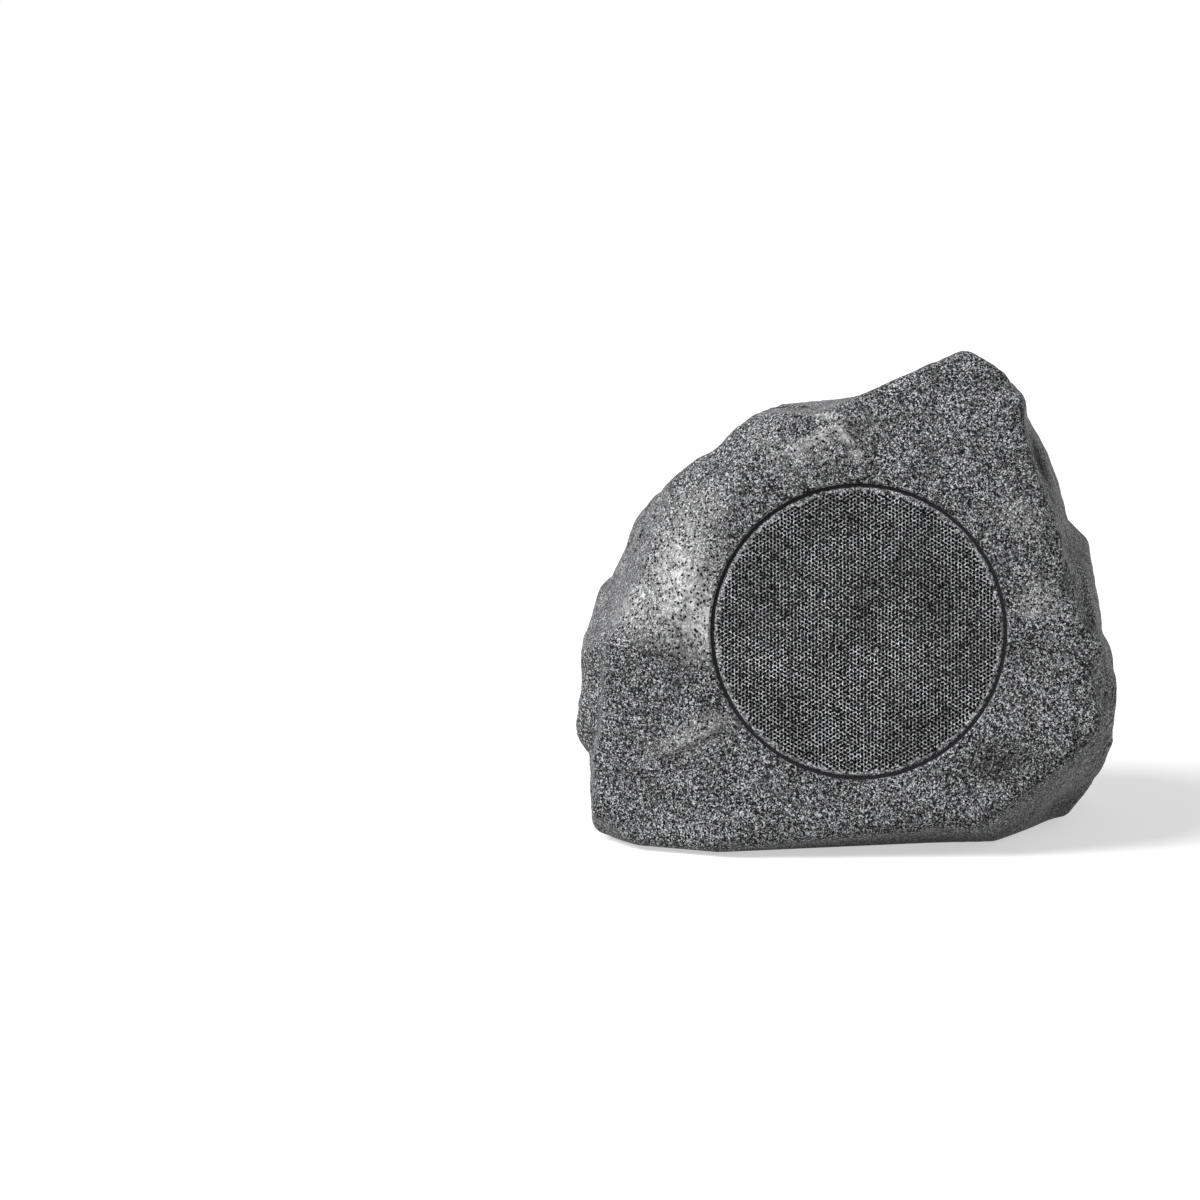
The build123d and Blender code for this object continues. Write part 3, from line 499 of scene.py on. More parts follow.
def relief(point):
    """Height of the swells, chips and pits at a place on the stone."""
    height = noise.fractal(point / SWELL_SIZE, SWELL_FALL, SWELL_STEP, SWELL_LAYERS) * SWELL_RISE
    for size, rise in CHIP_FORMS:
        middle = noise.voronoi(point / size)[1][0]
        tilt = noise.cell_vector(middle * CHIP_SCATTER) * 2 - Vector((1, 1, 1))
        height += (point / size - middle).dot(tilt) * rise
    return height + noise.noise(point / PIT_SIZE) * PIT_RISE


def on_stone(pixel):
    """The place of the stone that a pixel of the photograph shows."""
    return solid_stone.ray_cast(CAMERA_PLACE, sight_line(pixel))[0]


def fade_back(offset, mark):
    """How much of a mark is left in front of or behind its place."""
    deep = mark.get("deep", MARK_DEPTH) * MM
    return np.exp(-(offset @ np.array(CAMERA_FORWARD) / deep) ** 2)


def round_mark(points, mark):
    """Height of a swell or a scoop at each point."""
    across, along = (size * MM for size in mark["half"])
    turn = math.radians(mark["turn"])
    offset = points - np.array(on_stone(mark["middle"]))
    u = offset @ np.array(CAMERA_RIGHT * math.cos(turn) + CAMERA_UP * math.sin(turn)) / across
    v = offset @ np.array(CAMERA_UP * math.cos(turn) - CAMERA_RIGHT * math.sin(turn)) / along
    if mark["kind"] == "scoop":
        return fade_back(offset, mark) * np.maximum(0, 1 - u * u - v * v)
    return fade_back(offset, mark) * np.exp(-u * u - v * v)


def line_mark(points, mark):
    """Height of a crease or a ridge at each point."""
    half = mark["half"] * MM
    first, last = (on_stone(pixel) for pixel in mark["line"])
    run = last - first
    across = run.cross(CAMERA_FORWARD).normalized()
    offset = points - np.array(first)
    t = offset @ np.array(run) / run.length_squared
    aside = offset @ np.array(across)
    ends = eased_share(t / LINE_FADE) * eased_share((1 - t) / LINE_FADE)
    ends *= fade_back(offset - np.clip(t, 0, 1)[:, None] * np.array(run), mark)
    if mark["kind"] == "crease":
        return ends * np.maximum(0, 1 - abs(aside) / half)
    beyond = eased_share(1 - aside / (mark["drop"] * MM))
    return ends * np.where(aside < 0, np.exp(aside / half), beyond)


def marks_total(points, effect, unit):
    """What all marks add to the height or to the tone at each point."""
    total = np.zeros(len(points))
    for mark in MARKS:
        if effect in mark:
            form = line_mark if "line" in mark else round_mark
            total += mark[effect] * unit * form(points, mark)
    return total


def stone():
    """The hollow stone, with a worn skin over the solid's facets and all of the solid's openings."""
    mesh, directions = sphere_of_directions(STONE_LEVEL, FINE_FRONT)
    pairs = np.array([[v.index for v in e.verts] for e in mesh.edges])
    reach = stone_reach(directions)
    hold = stillness(points_at(directions, reach), True)
    reach = soften(reach, pairs, hold)
    points = points_at(directions, reach)
    rise = hold * np.array([relief(Vector(p)) for p in points])
    rise += stillness(points, False) * marks_total(points, "rise", MM)
    points = points_at(directions, reach + rise)
    points = np.clip(points, *(np.array(corner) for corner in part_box("rock_shell")))
    for vertex, point in zip(mesh.verts, points):
        vertex.co = point
    body = piece("stone", mesh)
    cut_away(body, [front_cutter(), gland_cutter(), *underside_cutters(), cavity()])
    smooth(body)
    add_tone(body)
    return body


def add_tone(body):
    """Keeps the coat's tone, 1 where no mark changes it, as an attribute of the mesh: above 1 partly pale
    brushing and partly painted highlight, below 1 painted shade.
    """
    places = np.empty(3 * len(body.data.vertices))
    body.data.vertices.foreach_get("co", places)
    tone = body.data.attributes.new(TONE, "FLOAT", "POINT")
    tone.data.foreach_set("value", 1 + marks_total(places.reshape(-1, 3), "tone", 1))


def front_cutter():
    """The grille's pocket, the drive unit's well and its cut-out."""
    mouth = POCKET_RADIUS + MOUTH_BEVEL
    inside = -BAFFLE_DEPTH - 2 * STONE_WALL
    return lathe("front_cutter", [
        (0, CUTTER_OVER), (mouth + CUTTER_OVER, CUTTER_OVER), (mouth, 0),
        (POCKET_RADIUS, -MOUTH_BEVEL), (POCKET_RADIUS, -POCKET_DEPTH),
        (WELL_RADIUS, -POCKET_DEPTH), (WELL_RADIUS, -WELL_DEPTH),
        (CUTOUT_RADIUS, -WELL_DEPTH), (CUTOUT_RADIUS, inside), (0, inside)], SPEAKER_PLACE)


def gland_cutter():
    """The gland's pocket and its hole."""
    floor = Vector((GLAND_CENTRE.x, GLAND_SEAT, GLAND_CENTRE.z))
    place = Matrix.Translation(floor) @ BACK.to_track_quat("Z", "Y").to_matrix().to_4x4()
    inside = -GLAND_FLOOR - STONE_WALL
    return lathe("gland_cutter", [
        (0, GLAND_CUTTER_LENGTH), (GLAND_POCKET_RADIUS, GLAND_CUTTER_LENGTH), (GLAND_POCKET_RADIUS, 0),
        (GLAND_HOLE_RADIUS, 0), (GLAND_HOLE_RADIUS, inside), (0, inside)], place, POCKET_STEPS)


def underside_cutters():
    """The base cover's recess, the service opening above it and the feet's seats."""
    low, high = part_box("base_cover")
    fit = Vector((COVER_FIT, COVER_FIT, 0))
    ledge = Vector((OPENING_LEDGE, OPENING_LEDGE, 0))
    cutters = [
        rounded_slab("recess_cutter", low - fit, high + fit, COVER_CORNER, -FLOOR_TOP, COVER_SEAT),
        rounded_slab("opening_cutter", low + ledge, high - ledge, COVER_CORNER, 0, FLOOR_TOP + STONE_WALL),
    ]
    seat = [(0, -FOOT_SEAT), (FOOT_RADIUS, -FOOT_SEAT), (FOOT_RADIUS, FOOT_SEAT), (0, FOOT_SEAT)]
    for number, (x, y) in enumerate(FEET):
        cutters.append(lathe(f"foot_cutter_{number}", seat, Matrix.Translation((x, y, 0)), FOOT_STEPS))
    return cutters


def kept_off(reach, directions, plane, origin, axis, radius):
    """Stops a reach at a plane within a radius of an axis."""
    limit = reach_of_plane(directions, plane, axis)
    near = off_axis(points_at(directions, limit), origin, axis) < radius
    return np.where(near, np.minimum(reach, limit), reach)


def cavity():
    """The stone's inside, kept off the baffle behind the grille, the gland's boss and the floor."""
    mesh, directions = sphere_of_directions(CAVITY_LEVEL)
    floor = reach_of_plane(directions, Vector((0, 0, FLOOR_TOP)), Vector((0, 0, -1)))
    reach = np.minimum(stone_reach(directions) - CAVITY_INSET, floor)
    baffle = FRONT_CENTRE - OUT * BAFFLE_DEPTH
    reach = kept_off(reach, directions, baffle, FRONT_CENTRE, OUT, BAFFLE_RADIUS)
    boss = Vector((0, GLAND_SEAT - GLAND_FLOOR, 0))
    reach = kept_off(reach, directions, boss, GLAND_CENTRE, BACK, GLAND_BOSS_RADIUS)
    for vertex, direction, distance in zip(mesh.verts, directions, reach):
        vertex.co = HEART + Vector(direction) * distance
    return piece("cavity_cutter", mesh)


# Grille
def hole_centres():
    """A close-packed pattern in upright columns, with a few holes filled by the coat."""
    column_step = HOLE_PITCH * math.sqrt(3) / 2
    limit = GRILLE_RADIUS - GRILLE_BEND - HOLE_MARGIN - HOLE_ACROSS / 2
    columns = math.ceil(limit / column_step)
    rows = math.ceil(limit / HOLE_PITCH) + 1
    centres = []
    for column in range(-columns, columns + 1):
        for row in range(-rows, rows + 1):
            x = column * column_step
            y = (row + column % 2 / 2) * HOLE_PITCH
            if math.hypot(x, y) <= limit:
                centres.append((x, y))
    centres.sort(key=lambda centre: math.dist(centre, CLOG_PLACE))
    return centres[CLOGGED_HOLES:]


def perforated_face():
    """Flat points, triangles and hole loops of the grille's face, with the rim circle's points first."""
    flat = GRILLE_RADIUS - GRILLE_BEND
    points = [Vector(point) / MM for point in circle(flat, EDGE_STEPS)]
    loops = [list(range(EDGE_STEPS))]
    hole = circle(HOLE_ACROSS / 2 / math.cos(math.pi / HOLE_SIDES), HOLE_SIDES)
    for x, y in hole_centres():
        loops.append(list(range(len(points), len(points) + HOLE_SIDES)))
        points.extend(Vector((x + aside, y + above)) / MM for aside, above in hole)
    edges = [(loop[i], loop[j]) for loop in loops for i, j in neighbours(len(loop))]
    _, _, triangles, sources, _, _ = delaunay_2d_cdt(points, edges, [], INSIDE_ONLY, SAME_POINT)
    origin = [source[0] for source in sources]
    hole_of = {corner: number for number, loop in enumerate(loops[1:]) for corner in loop}
    faces = []
    for triangle in triangles:
        corners = [origin[i] for i in triangle]
        holes = {hole_of.get(corner, -1) for corner in corners}
        if len(holes) > 1 or holes == {-1}:
            faces.append(corners)
    return [p * MM for p in points], faces, loops


def grille():
    """The pressed pan: a sheet with its holes right through, bent round into a plain rim."""
    points, triangles, loops = perforated_face()
    count = len(points)
    front = -GRILLE_SET_BACK
    back = front - GRILLE_SHEET
    vertices = [(p.x, p.y, front) for p in points] + [(p.x, p.y, back) for p in points]
    faces = [tuple(t) for t in triangles] + [tuple(i + count for i in reversed(t)) for t in triangles]
    for loop in loops[1:]:
        for i, j in neighbours(HOLE_SIDES):
            faces.append((loop[i], loop[j], loop[j] + count, loop[i] + count))
    rows = [loops[0]]
    for radius, height in rim_section(front, back):
        rows.append(list(range(len(vertices), len(vertices) + EDGE_STEPS)))
        vertices.extend((x, y, height) for x, y in circle(radius, EDGE_STEPS))
    rows.append([i + count for i in loops[0]])
    for low, high in zip(rows, rows[1:]):
        for i, j in neighbours(EDGE_STEPS):
            faces.append((low[i], low[j], high[j], high[i]))
    data = bpy.data.meshes.new("grille_pan")
    data.from_pydata(vertices, [], faces)
    mesh = bmesh.new()
    mesh.from_mesh(data)
    bpy.data.meshes.remove(data)
    bmesh.ops.recalc_face_normals(mesh, faces=mesh.faces)
    mesh.transform(SPEAKER_PLACE)
    made = piece("grille_pan", mesh)
    smooth(made)
    return made


def rim_section(front, back):
    """Radius and height points round the bend, down the rim and back up inside it."""
    flat = GRILLE_RADIUS - GRILLE_BEND
    foot = front - GRILLE_RIM
    inner_bend = GRILLE_BEND - GRILLE_SHEET
    outer = []
    inner = []
    for step in range(1, BEND_STEPS + 1):
        angle = math.pi / 2 * step / BEND_STEPS
        outer.append((flat + GRILLE_BEND * math.sin(angle), front - GRILLE_BEND * (1 - math.cos(angle))))
        inner.append((flat + inner_bend * math.sin(angle), back - inner_bend * (1 - math.cos(angle))))
    feet = [(GRILLE_RADIUS, foot), (GRILLE_RADIUS - GRILLE_SHEET, foot)]
    return outer + feet + inner[::-1]


# Soft parts
def sheet_ring(name, line, thickness):
    """A sheet of even thickness turned about the speaker's axis from its middle line."""
    points = [Vector(point) for point in line]
    sides = []
    for i, point in enumerate(points):
        along = points[min(i + 1, len(points) - 1)] - points[max(i - 1, 0)]
        sides.append(Vector((-along.y, along.x)).normalized() * thickness / 2)
    upper = [(point + side)[:] for point, side in zip(points, sides)]
    lower = [(point - side)[:] for point, side in zip(points, sides)]
    made = lathe(name, upper + lower[::-1], SPEAKER_PLACE, ring=True)
    smooth(made)
    return made


def arc_through(first, middle, last):
    """Points of the arc through three points."""
    a, b, c = (complex(*point) for point in (first, middle, last))
    ratio = (c - a) / (b - a)
    centre = a + (b - a) * (ratio - abs(ratio) ** 2) / (ratio - ratio.conjugate())
    start = math.atan2((a - centre).imag, (a - centre).real)
    end = math.atan2((c - centre).imag, (c - centre).real)
    if end > start:
        end -= 2 * math.pi
    radius = abs(a - centre)
    angles = [start + (end - start) * step / CURVE_STEPS for step in range(CURVE_STEPS + 1)]
    return [(centre.real + radius * math.cos(t), centre.imag + radius * math.sin(t)) for t in angles]


def eased(radii, heights):
    """A rounded wave through given radii and heights."""
    line = [(radii[0], heights[0])]
    for i in range(len(radii) - 1):
        for step in range(1, CURVE_STEPS + 1):
            share = step / CURVE_STEPS
            lift = (1 - math.cos(math.pi * share)) / 2
            line.append((radii[i] + (radii[i + 1] - radii[i]) * share,
                         heights[i] + (heights[i + 1] - heights[i]) * lift))
    return line


def surround():
    """The half-roll rubber edge."""
    inner_lip, outer_lip = SURROUND_LIPS
    line = [inner_lip, *arc_through(*SURROUND_ROLL), outer_lip]
    return sheet_ring("rubber_edge", line, SURROUND_SHEET)


def spider_line():
    """Middle line of the corrugated cloth, from its rim to the cone's neck."""
    return eased(SPIDER_RADII, [SPIDER_LEVEL + height for height in SPIDER_HEIGHTS])


def spider():
    """The corrugated cloth that centres the cone's neck."""
    return sheet_ring("corrugated_cloth", spider_line(), SPIDER_SHEET)


def scrim():
    """The flat cloth behind the grille."""
    back = SCRIM_FRONT - SCRIM_SHEET
    section = [(0, SCRIM_FRONT), (SCRIM_RADIUS, SCRIM_FRONT), (SCRIM_RADIUS, back), (0, back)]
    return lathe("scrim_cloth", section, SPEAKER_PLACE)


# Materials: the noise values between which a mottle runs, and the detail of fine noise
MOTTLE_ENDS = (0.3, 0.7)
FINE_DETAIL = 3.0


class Nodes:
    """A node tree whose nodes are joined by short calls."""

    def __init__(self, tree):
        self.tree = tree

    def add(self, kind, **settings):
        """A new node with its settings."""
        node = self.tree.nodes.new(kind)
        for name, value in settings.items():
            setattr(node, name, value)
        return node

    def feed(self, socket, value):
        """Links a socket to another, or sets its constant."""
        if isinstance(value, bpy.types.NodeSocket):
            self.tree.links.new(value, socket)
        else:
            socket.default_value = value

    def math(self, operation, first, second=0.0, third=0.0):
        """The result of a sum on values or sockets."""
        node = self.add("ShaderNodeMath", operation=operation)
        for socket, value in zip(node.inputs, (first, second, third)):
            self.feed(socket, value)
        return node.outputs[0]


class Painter(Nodes):
    """The nodes of a new material."""

    def __init__(self, name):
        self.material = bpy.data.materials.new(name)
        self.material.use_nodes = True
        super().__init__(self.material.node_tree)
        self.surface = self.tree.nodes["Principled BSDF"]
        self.place = self.add("ShaderNodeTexCoord").outputs["Object"]

    def noise(self, size, detail=2.0):
        """Soft noise with forms of about a size."""
        node = self.add("ShaderNodeTexNoise")
        self.feed(node.inputs["Vector"], self.place)
        node.inputs["Scale"].default_value = 1 / size
        node.inputs["Detail"].default_value = detail
        return node

    def cells(self, size, place):
        """Cells of about a size, each with a colour of its own."""
        node = self.add("ShaderNodeTexVoronoi")
        self.feed(node.inputs["Vector"], place)
        node.inputs["Scale"].default_value = 1 / size
        return node

    def ramp(self, value, stops):
        """Maps a value to greys or colours, given as (place, colour) stops."""
        node = self.add("ShaderNodeValToRGB")
        elements = node.color_ramp.elements
        while len(elements) < len(stops):
            elements.new(1.0)
        for element, (place, colour) in zip(elements, stops):
            element.position = place
            shade = colour if isinstance(colour, tuple) else (colour, colour, colour)
            element.color = (*shade, 1)
        self.feed(node.inputs["Fac"], value)
        return node.outputs["Color"]

    def mottle(self, value, first, last, ends=MOTTLE_ENDS):
        """Runs from a first to a last shade while a value runs between two ends."""
        return self.ramp(value, list(zip(ends, (first, last))))

    def channel(self, colour, name):
        """One part of a colour; of a cell's colour, a random number of that cell."""
        node = self.add("ShaderNodeSeparateColor")
        self.feed(node.inputs[0], colour)
        return node.outputs[name]

    def mix(self, share, first, second, blend="MIX"):
        """A first colour with a share of a second one."""
        node = self.add("ShaderNodeMix", data_type="RGBA", blend_type=blend)
        self.feed(node.inputs["Factor"], share)
        self.feed(node.inputs["A"], first)
        self.feed(node.inputs["B"], second)
        return node.outputs["Result"]

    def bump(self, height, depth, strength=1.0):
        """Gives the surface fine relief."""
        node = self.add("ShaderNodeBump")
        node.inputs["Strength"].default_value = strength
        node.inputs["Distance"].default_value = depth
        self.feed(node.inputs["Height"], height)
        self.feed(self.surface.inputs["Normal"], node.outputs["Normal"])

    def set(self, **values):
        """Feeds the surface's sockets by their names and returns the material."""
        for name, value in values.items():
            self.feed(self.surface.inputs[name.replace("_", " ")], value)
        return self.material


# Granite coat: its grains, clumps, skin and shades, and how its high parts are painted paler, partly as
# pale brushing and partly as a painted highlight, and its hollows darker as painted shade
GROUND_GRAIN = 0.6 * MM
DARK_GRAIN = 1.6 * MM
PALE_GRAIN = 1.3 * MM
GRAIN_CORE = ((0.34, 1.0), (0.5, 0.0))
STIR_SIZE = 1.1 * MM
STIR_REACH = 1.2 * MM
NOISE_MIDDLE = (0.5, 0.5, 0.5)
CLUMP_SIZE = 2.6 * MM
CLUMP_ENDS = (0.35, 0.65)
CLUMP_CROWD = (0.45, 1.55)
SKIN_GRAIN = 0.9 * MM
SKIN_DEPTH = 0.2 * MM
SKIN_STRENGTH = 0.8
DARK_DIP = 0.5
DARK_SHADE = (0.004, 0.004, 0.005)
PALE_SHADE = (0.5, 0.505, 0.51)
COOL = (0.985, 1.0, 1.025)
GRANITE_GLOSS = 0.07
GRANITE_ROUGHNESS = ((0.2, 0.5), (0.8, 0.62))
HOLLOW_ROUGHNESS = 0.6
# The high parts' paler coat, partly pale brushing and partly painted highlight
HIGHLIGHT_BRUSH_GRAIN = 0.85 * MM
HIGHLIGHT_BRUSH_PATCH = 3 * MM
HIGHLIGHT_BRUSH_DETAIL = 4.0
HIGHLIGHT_BRUSH_ENDS = (0.34, 0.66)
HIGHLIGHT_BRUSH_GRIP = (0.2, 1.8)
HIGHLIGHT_BRUSH_MOST = 0.7
HIGHLIGHT_BRUSH_SHADES = ((0.0, 0.28), (0.35, 0.7), (1.0, 0.95))
STONE_COAT = {
    "ground": ((0.12, 0.004), (0.38, 0.03), (0.6, 0.095), (0.8, 0.24), (0.97, 0.55)),
    "dark_share": 0.42, "pale_share": 0.06, "patch": 16 * MM, "contrast": 0.2, "painted_light_and_brushing": True,
}
GRILLE_COAT = {
    "ground": ((0.05, 0.01), (0.35, 0.065), (0.65, 0.21), (0.97, 0.62)),
    "dark_share": 0.2, "pale_share": 0.05, "patch": 32 * MM, "contrast": 0.34, "painted_light_and_brushing": False,
}

# Cloth and windings. The band rate is how far a wave texture's phase runs over a metre at a scale of 1.
CLOTH_GLOSS = 0.1
CLOTH_ROUGHNESS = 0.9
BAND_RATE = 20
THREAD_WANDER = 0.6
THREAD_FLATNESS = 3
THREAD_GAP_PAINTED_SHADE = 0.5
THREAD_ENDS = (0.3, 0.9)
SCRIM_SHADE = (0.008, 0.008, 0.009)
SCRIM_THREAD = 0.4 * MM
SPIDER_SHADE = (0.42, 0.27, 0.11)
SPIDER_THREAD = 0.5 * MM
COPPER = (0.64, 0.27, 0.12)
COIL_PITCH = 0.35 * MM
INDUCTOR_PITCH = 0.9 * MM
TURN_FLATNESS = 4
TURN_GROOVE_PAINTED_SHADE = 0.45
TURN_ENDS = (0.0, 0.8)
WIRE_PATCH = 6 * MM
WIRE_ROUGHNESS = (0.25, 0.4)

# Plain finishes, with the size and depth of their grain in millimetres, and the solids that have them
MOTTLE_GRAINS = 9
MOTTLE_ROUGHNESS = (0.85, 1.15)
FINISHES = {
    "rubber": dict(colour=(0.012, 0.012, 0.013), rough=0.7, grain=0.5, depth=0.04, gloss=0.15),
    "edge_rubber": dict(colour=(0.02, 0.02, 0.021), rough=0.55, grain=0.5, depth=0.03),
    "foam": dict(colour=(0.03, 0.03, 0.032), rough=0.9, grain=0.8, depth=0.1, gloss=0.1),
    "plastic": dict(colour=(0.02, 0.02, 0.022), rough=0.5, grain=0.4, depth=0.03),
    "steel": dict(colour=(0.5, 0.49, 0.46), rough=0.35, grain=0.6, depth=0.01, metal=1, spread=0.1),
    "screw_steel": dict(colour=(0.24, 0.24, 0.24), rough=0.45, grain=0.6, depth=0.03, metal=1, spread=0.15),
    "black_paint": dict(colour=(0.02, 0.02, 0.022), rough=0.45, grain=0.5, depth=0.02),
    "tinned": dict(colour=(0.72, 0.66, 0.5), rough=0.3, grain=0.5, depth=0.01, metal=1, spread=0.1),
    "cone_plastic": dict(colour=(0.03, 0.031, 0.034), rough=0.4, grain=0.7, depth=0.04),
    "foil": dict(colour=(0.72, 0.72, 0.73), rough=0.3, grain=0.5, depth=0.01, metal=1, spread=0.05),
    "ferrite": dict(colour=(0.045, 0.045, 0.047), rough=0.7, grain=0.9, depth=0.06),
    "dome_silk": dict(colour=(0.03, 0.028, 0.028), rough=0.6, grain=0.3, depth=0.05),
    "phenolic": dict(colour=(0.2, 0.09, 0.035), rough=0.6, grain=0.5, depth=0.02),
    "solder_resist": dict(colour=(0.025, 0.12, 0.05), rough=0.35, grain=0.8, depth=0.02),
    "sleeve": dict(colour=(0.02, 0.025, 0.06), rough=0.25, grain=0.8, depth=0.01),
    "cement": dict(colour=(0.72, 0.7, 0.65), rough=0.85, grain=0.4, depth=0.06, spread=0.1),
    "block": dict(colour=(0.03, 0.12, 0.06), rough=0.3, grain=0.6, depth=0.02),
    "red_wire": dict(colour=(0.3, 0.02, 0.02), rough=0.35, grain=0.6, depth=0.01),
    "black_wire": dict(colour=(0.02, 0.02, 0.02), rough=0.35, grain=0.6, depth=0.01),
}
FINISHED_NODES = {
    "rubber": ("grille_gasket", "rubber_feet", "gland_seal"),
    "foam": ("driver_gasket", "base_gasket"),
    "plastic": (
        "base_cover", "gland_body", "gland_nut", "gland_locknut", "tweeter_housing", "inductor_bobbin"),
    "black_paint": ("driver_basket",),
    "steel": ("top_plate", "yoke", "tweeter_post"),
    "screw_steel": ("driver_screws", "base_screws", "crossover_screws"),
    "tinned": ("terminal_tags",),
    "cone_plastic": ("cone",),
    "foil": ("voice_coil_former",),
    "ferrite": ("magnet",),
    "dome_silk": ("tweeter_dome",),
    "phenolic": ("terminal_strip",),
    "solder_resist": ("crossover_board",),
    "sleeve": ("capacitor",),
    "cement": ("resistor",),
    "block": ("terminal_block",),
    "red_wire": ("woofer_leads",),
    "black_wire": ("tweeter_leads",),
}


def specks(paint, place, size, share):
    """Grains of one kind in loose clumps: about a share of the cells holds one, smaller than its cell."""
    cells = paint.cells(size, place)
    chance = paint.channel(cells.outputs["Color"], "Red")
    few, many = CLUMP_CROWD
    clumps = paint.noise(CLUMP_SIZE, FINE_DETAIL).outputs["Fac"]
    crowd = paint.mottle(clumps, few * share, many * share, CLUMP_ENDS)
    chosen = paint.math("LESS_THAN", chance, crowd)
    core = paint.ramp(cells.outputs["Distance"], GRAIN_CORE)
    return paint.math("MULTIPLY", chosen, core)


def stirred_place(paint):
    """Object coordinates pushed about a little, so that grains have ragged outlines."""
    centred = paint.add("ShaderNodeVectorMath", operation="SUBTRACT")
    paint.feed(centred.inputs[0], paint.noise(STIR_SIZE).outputs["Color"])
    centred.inputs[1].default_value = NOISE_MIDDLE
    scaled = paint.add("ShaderNodeVectorMath", operation="SCALE")
    paint.feed(scaled.inputs[0], centred.outputs[0])
    scaled.inputs["Scale"].default_value = STIR_REACH
    moved = paint.add("ShaderNodeVectorMath", operation="ADD")
    paint.feed(moved.inputs[0], paint.place)
    paint.feed(moved.inputs[1], scaled.outputs[0])
    return moved.outputs[0]


def paint_highlight_brush_and_shade(paint, place, shade, roughness):
    """A coat's shade and roughness with its high parts painted paler, partly as pale brushing and partly as
    a painted highlight, and its hollows darker as painted shade and dull.
    """
    tone = paint.add("ShaderNodeAttribute", attribute_name=TONE).outputs["Fac"]
    painted_shade = paint.math("MINIMUM", tone, 1.0)
    hollow = paint.math("SUBTRACT", 1.0, painted_shade)
    roughness = paint.math("MULTIPLY_ADD", hollow, HOLLOW_ROUGHNESS, roughness)
    # Painted shade: the coat is darkened where the tone is below 1
    shade = paint.mix(1.0, shade, painted_shade, "MULTIPLY")
    # Painted highlight, partly pale brushing: pale grains mixed in where the tone is above 1
    highlight_brush_grip = paint.mottle(paint.noise(HIGHLIGHT_BRUSH_PATCH, HIGHLIGHT_BRUSH_DETAIL).outputs["Fac"], *HIGHLIGHT_BRUSH_GRIP, HIGHLIGHT_BRUSH_ENDS)
    highlight_and_brushing = paint.math("MAXIMUM", paint.math("SUBTRACT", tone, 1.0), 0.0)
    highlight_brush = paint.math("MINIMUM", paint.math("MULTIPLY", highlight_and_brushing, highlight_brush_grip), HIGHLIGHT_BRUSH_MOST)
    grains = paint.channel(paint.cells(HIGHLIGHT_BRUSH_GRAIN, place).outputs["Color"], "Blue")
    return paint.mix(highlight_brush, shade, paint.ramp(grains, HIGHLIGHT_BRUSH_SHADES)), roughness


def granite(name, ground, dark_share, pale_share, patch, contrast, painted_light_and_brushing):
    """Grey granite coat: a ground of fine grains, dark and pale grains and a grainy skin."""
    paint = Painter(name)
    place = stirred_place(paint)
    grains = paint.channel(paint.cells(GROUND_GRAIN, place).outputs["Color"], "Green")
    shade = paint.ramp(grains, [(at, tuple(grey * c for c in COOL)) for at, grey in ground])
    patches = paint.mottle(paint.noise(patch, FINE_DETAIL).outputs["Fac"], 1 - contrast, 1 + contrast)
    shade = paint.mix(1.0, shade, patches, "MULTIPLY")
    pale = specks(paint, place, PALE_GRAIN, pale_share)
    dark = specks(paint, place, DARK_GRAIN, dark_share)
    shade = paint.mix(pale, shade, (*PALE_SHADE, 1))
    roughness = paint.ramp(grains, GRANITE_ROUGHNESS)
    # The marks' tone paints a highlight, partly pale brushing, on high parts and painted shade in hollows
    if painted_light_and_brushing:
        shade, roughness = paint_highlight_brush_and_shade(paint, place, shade, roughness)
    shade = paint.mix(dark, shade, (*DARK_SHADE, 1))
    dip = paint.math("MULTIPLY", dark, DARK_DIP)
    skin = paint.math("SUBTRACT", paint.noise(SKIN_GRAIN).outputs["Fac"], dip)
    paint.bump(skin, SKIN_DEPTH, SKIN_STRENGTH)
    return paint.set(Base_Color=shade, Roughness=roughness, Specular_IOR_Level=GRANITE_GLOSS)


def cloth(name, colour, thread):
    """Woven cloth: two crossed sets of threads, with painted shade in the gaps between them."""
    paint = Painter(name)
    weave = []
    for direction in ("X", "Z"):
        wave = paint.add("ShaderNodeTexWave", bands_direction=direction)
        paint.feed(wave.inputs["Vector"], paint.place)
        wave.inputs["Scale"].default_value = 2 * math.pi / (BAND_RATE * thread)
        wave.inputs["Distortion"].default_value = THREAD_WANDER
        weave.append(wave.outputs["Fac"])
    height = paint.math("MAXIMUM", *weave)
    # Painted shade in the gaps between threads
    dark = tuple(c * THREAD_GAP_PAINTED_SHADE for c in colour)
    paint.bump(height, thread / THREAD_FLATNESS)
    paint.set(Roughness=CLOTH_ROUGHNESS, Specular_IOR_Level=CLOTH_GLOSS)
    return paint.set(Base_Color=paint.mottle(height, dark, colour, THREAD_ENDS))


def wound(name, colour, axis, pitch):
    """Turns of wire side by side about an axis, with painted shade in the grooves between them."""
    paint = Painter(name)
    along = paint.add("ShaderNodeVectorMath", operation="DOT_PRODUCT")
    paint.feed(along.inputs[0], paint.place)
    along.inputs[1].default_value = tuple(axis)
    turns = paint.math("SINE", paint.math("MULTIPLY", along.outputs["Value"], 2 * math.pi / pitch))
    # Painted shade in the grooves between turns
    dark = tuple(c * TURN_GROOVE_PAINTED_SHADE for c in colour)
    paint.bump(turns, pitch / TURN_FLATNESS)
    paint.set(Base_Color=paint.mottle(turns, dark, colour, TURN_ENDS), Metallic=1.0)
    return paint.set(Roughness=paint.mottle(paint.noise(WIRE_PATCH).outputs["Fac"], *WIRE_ROUGHNESS))


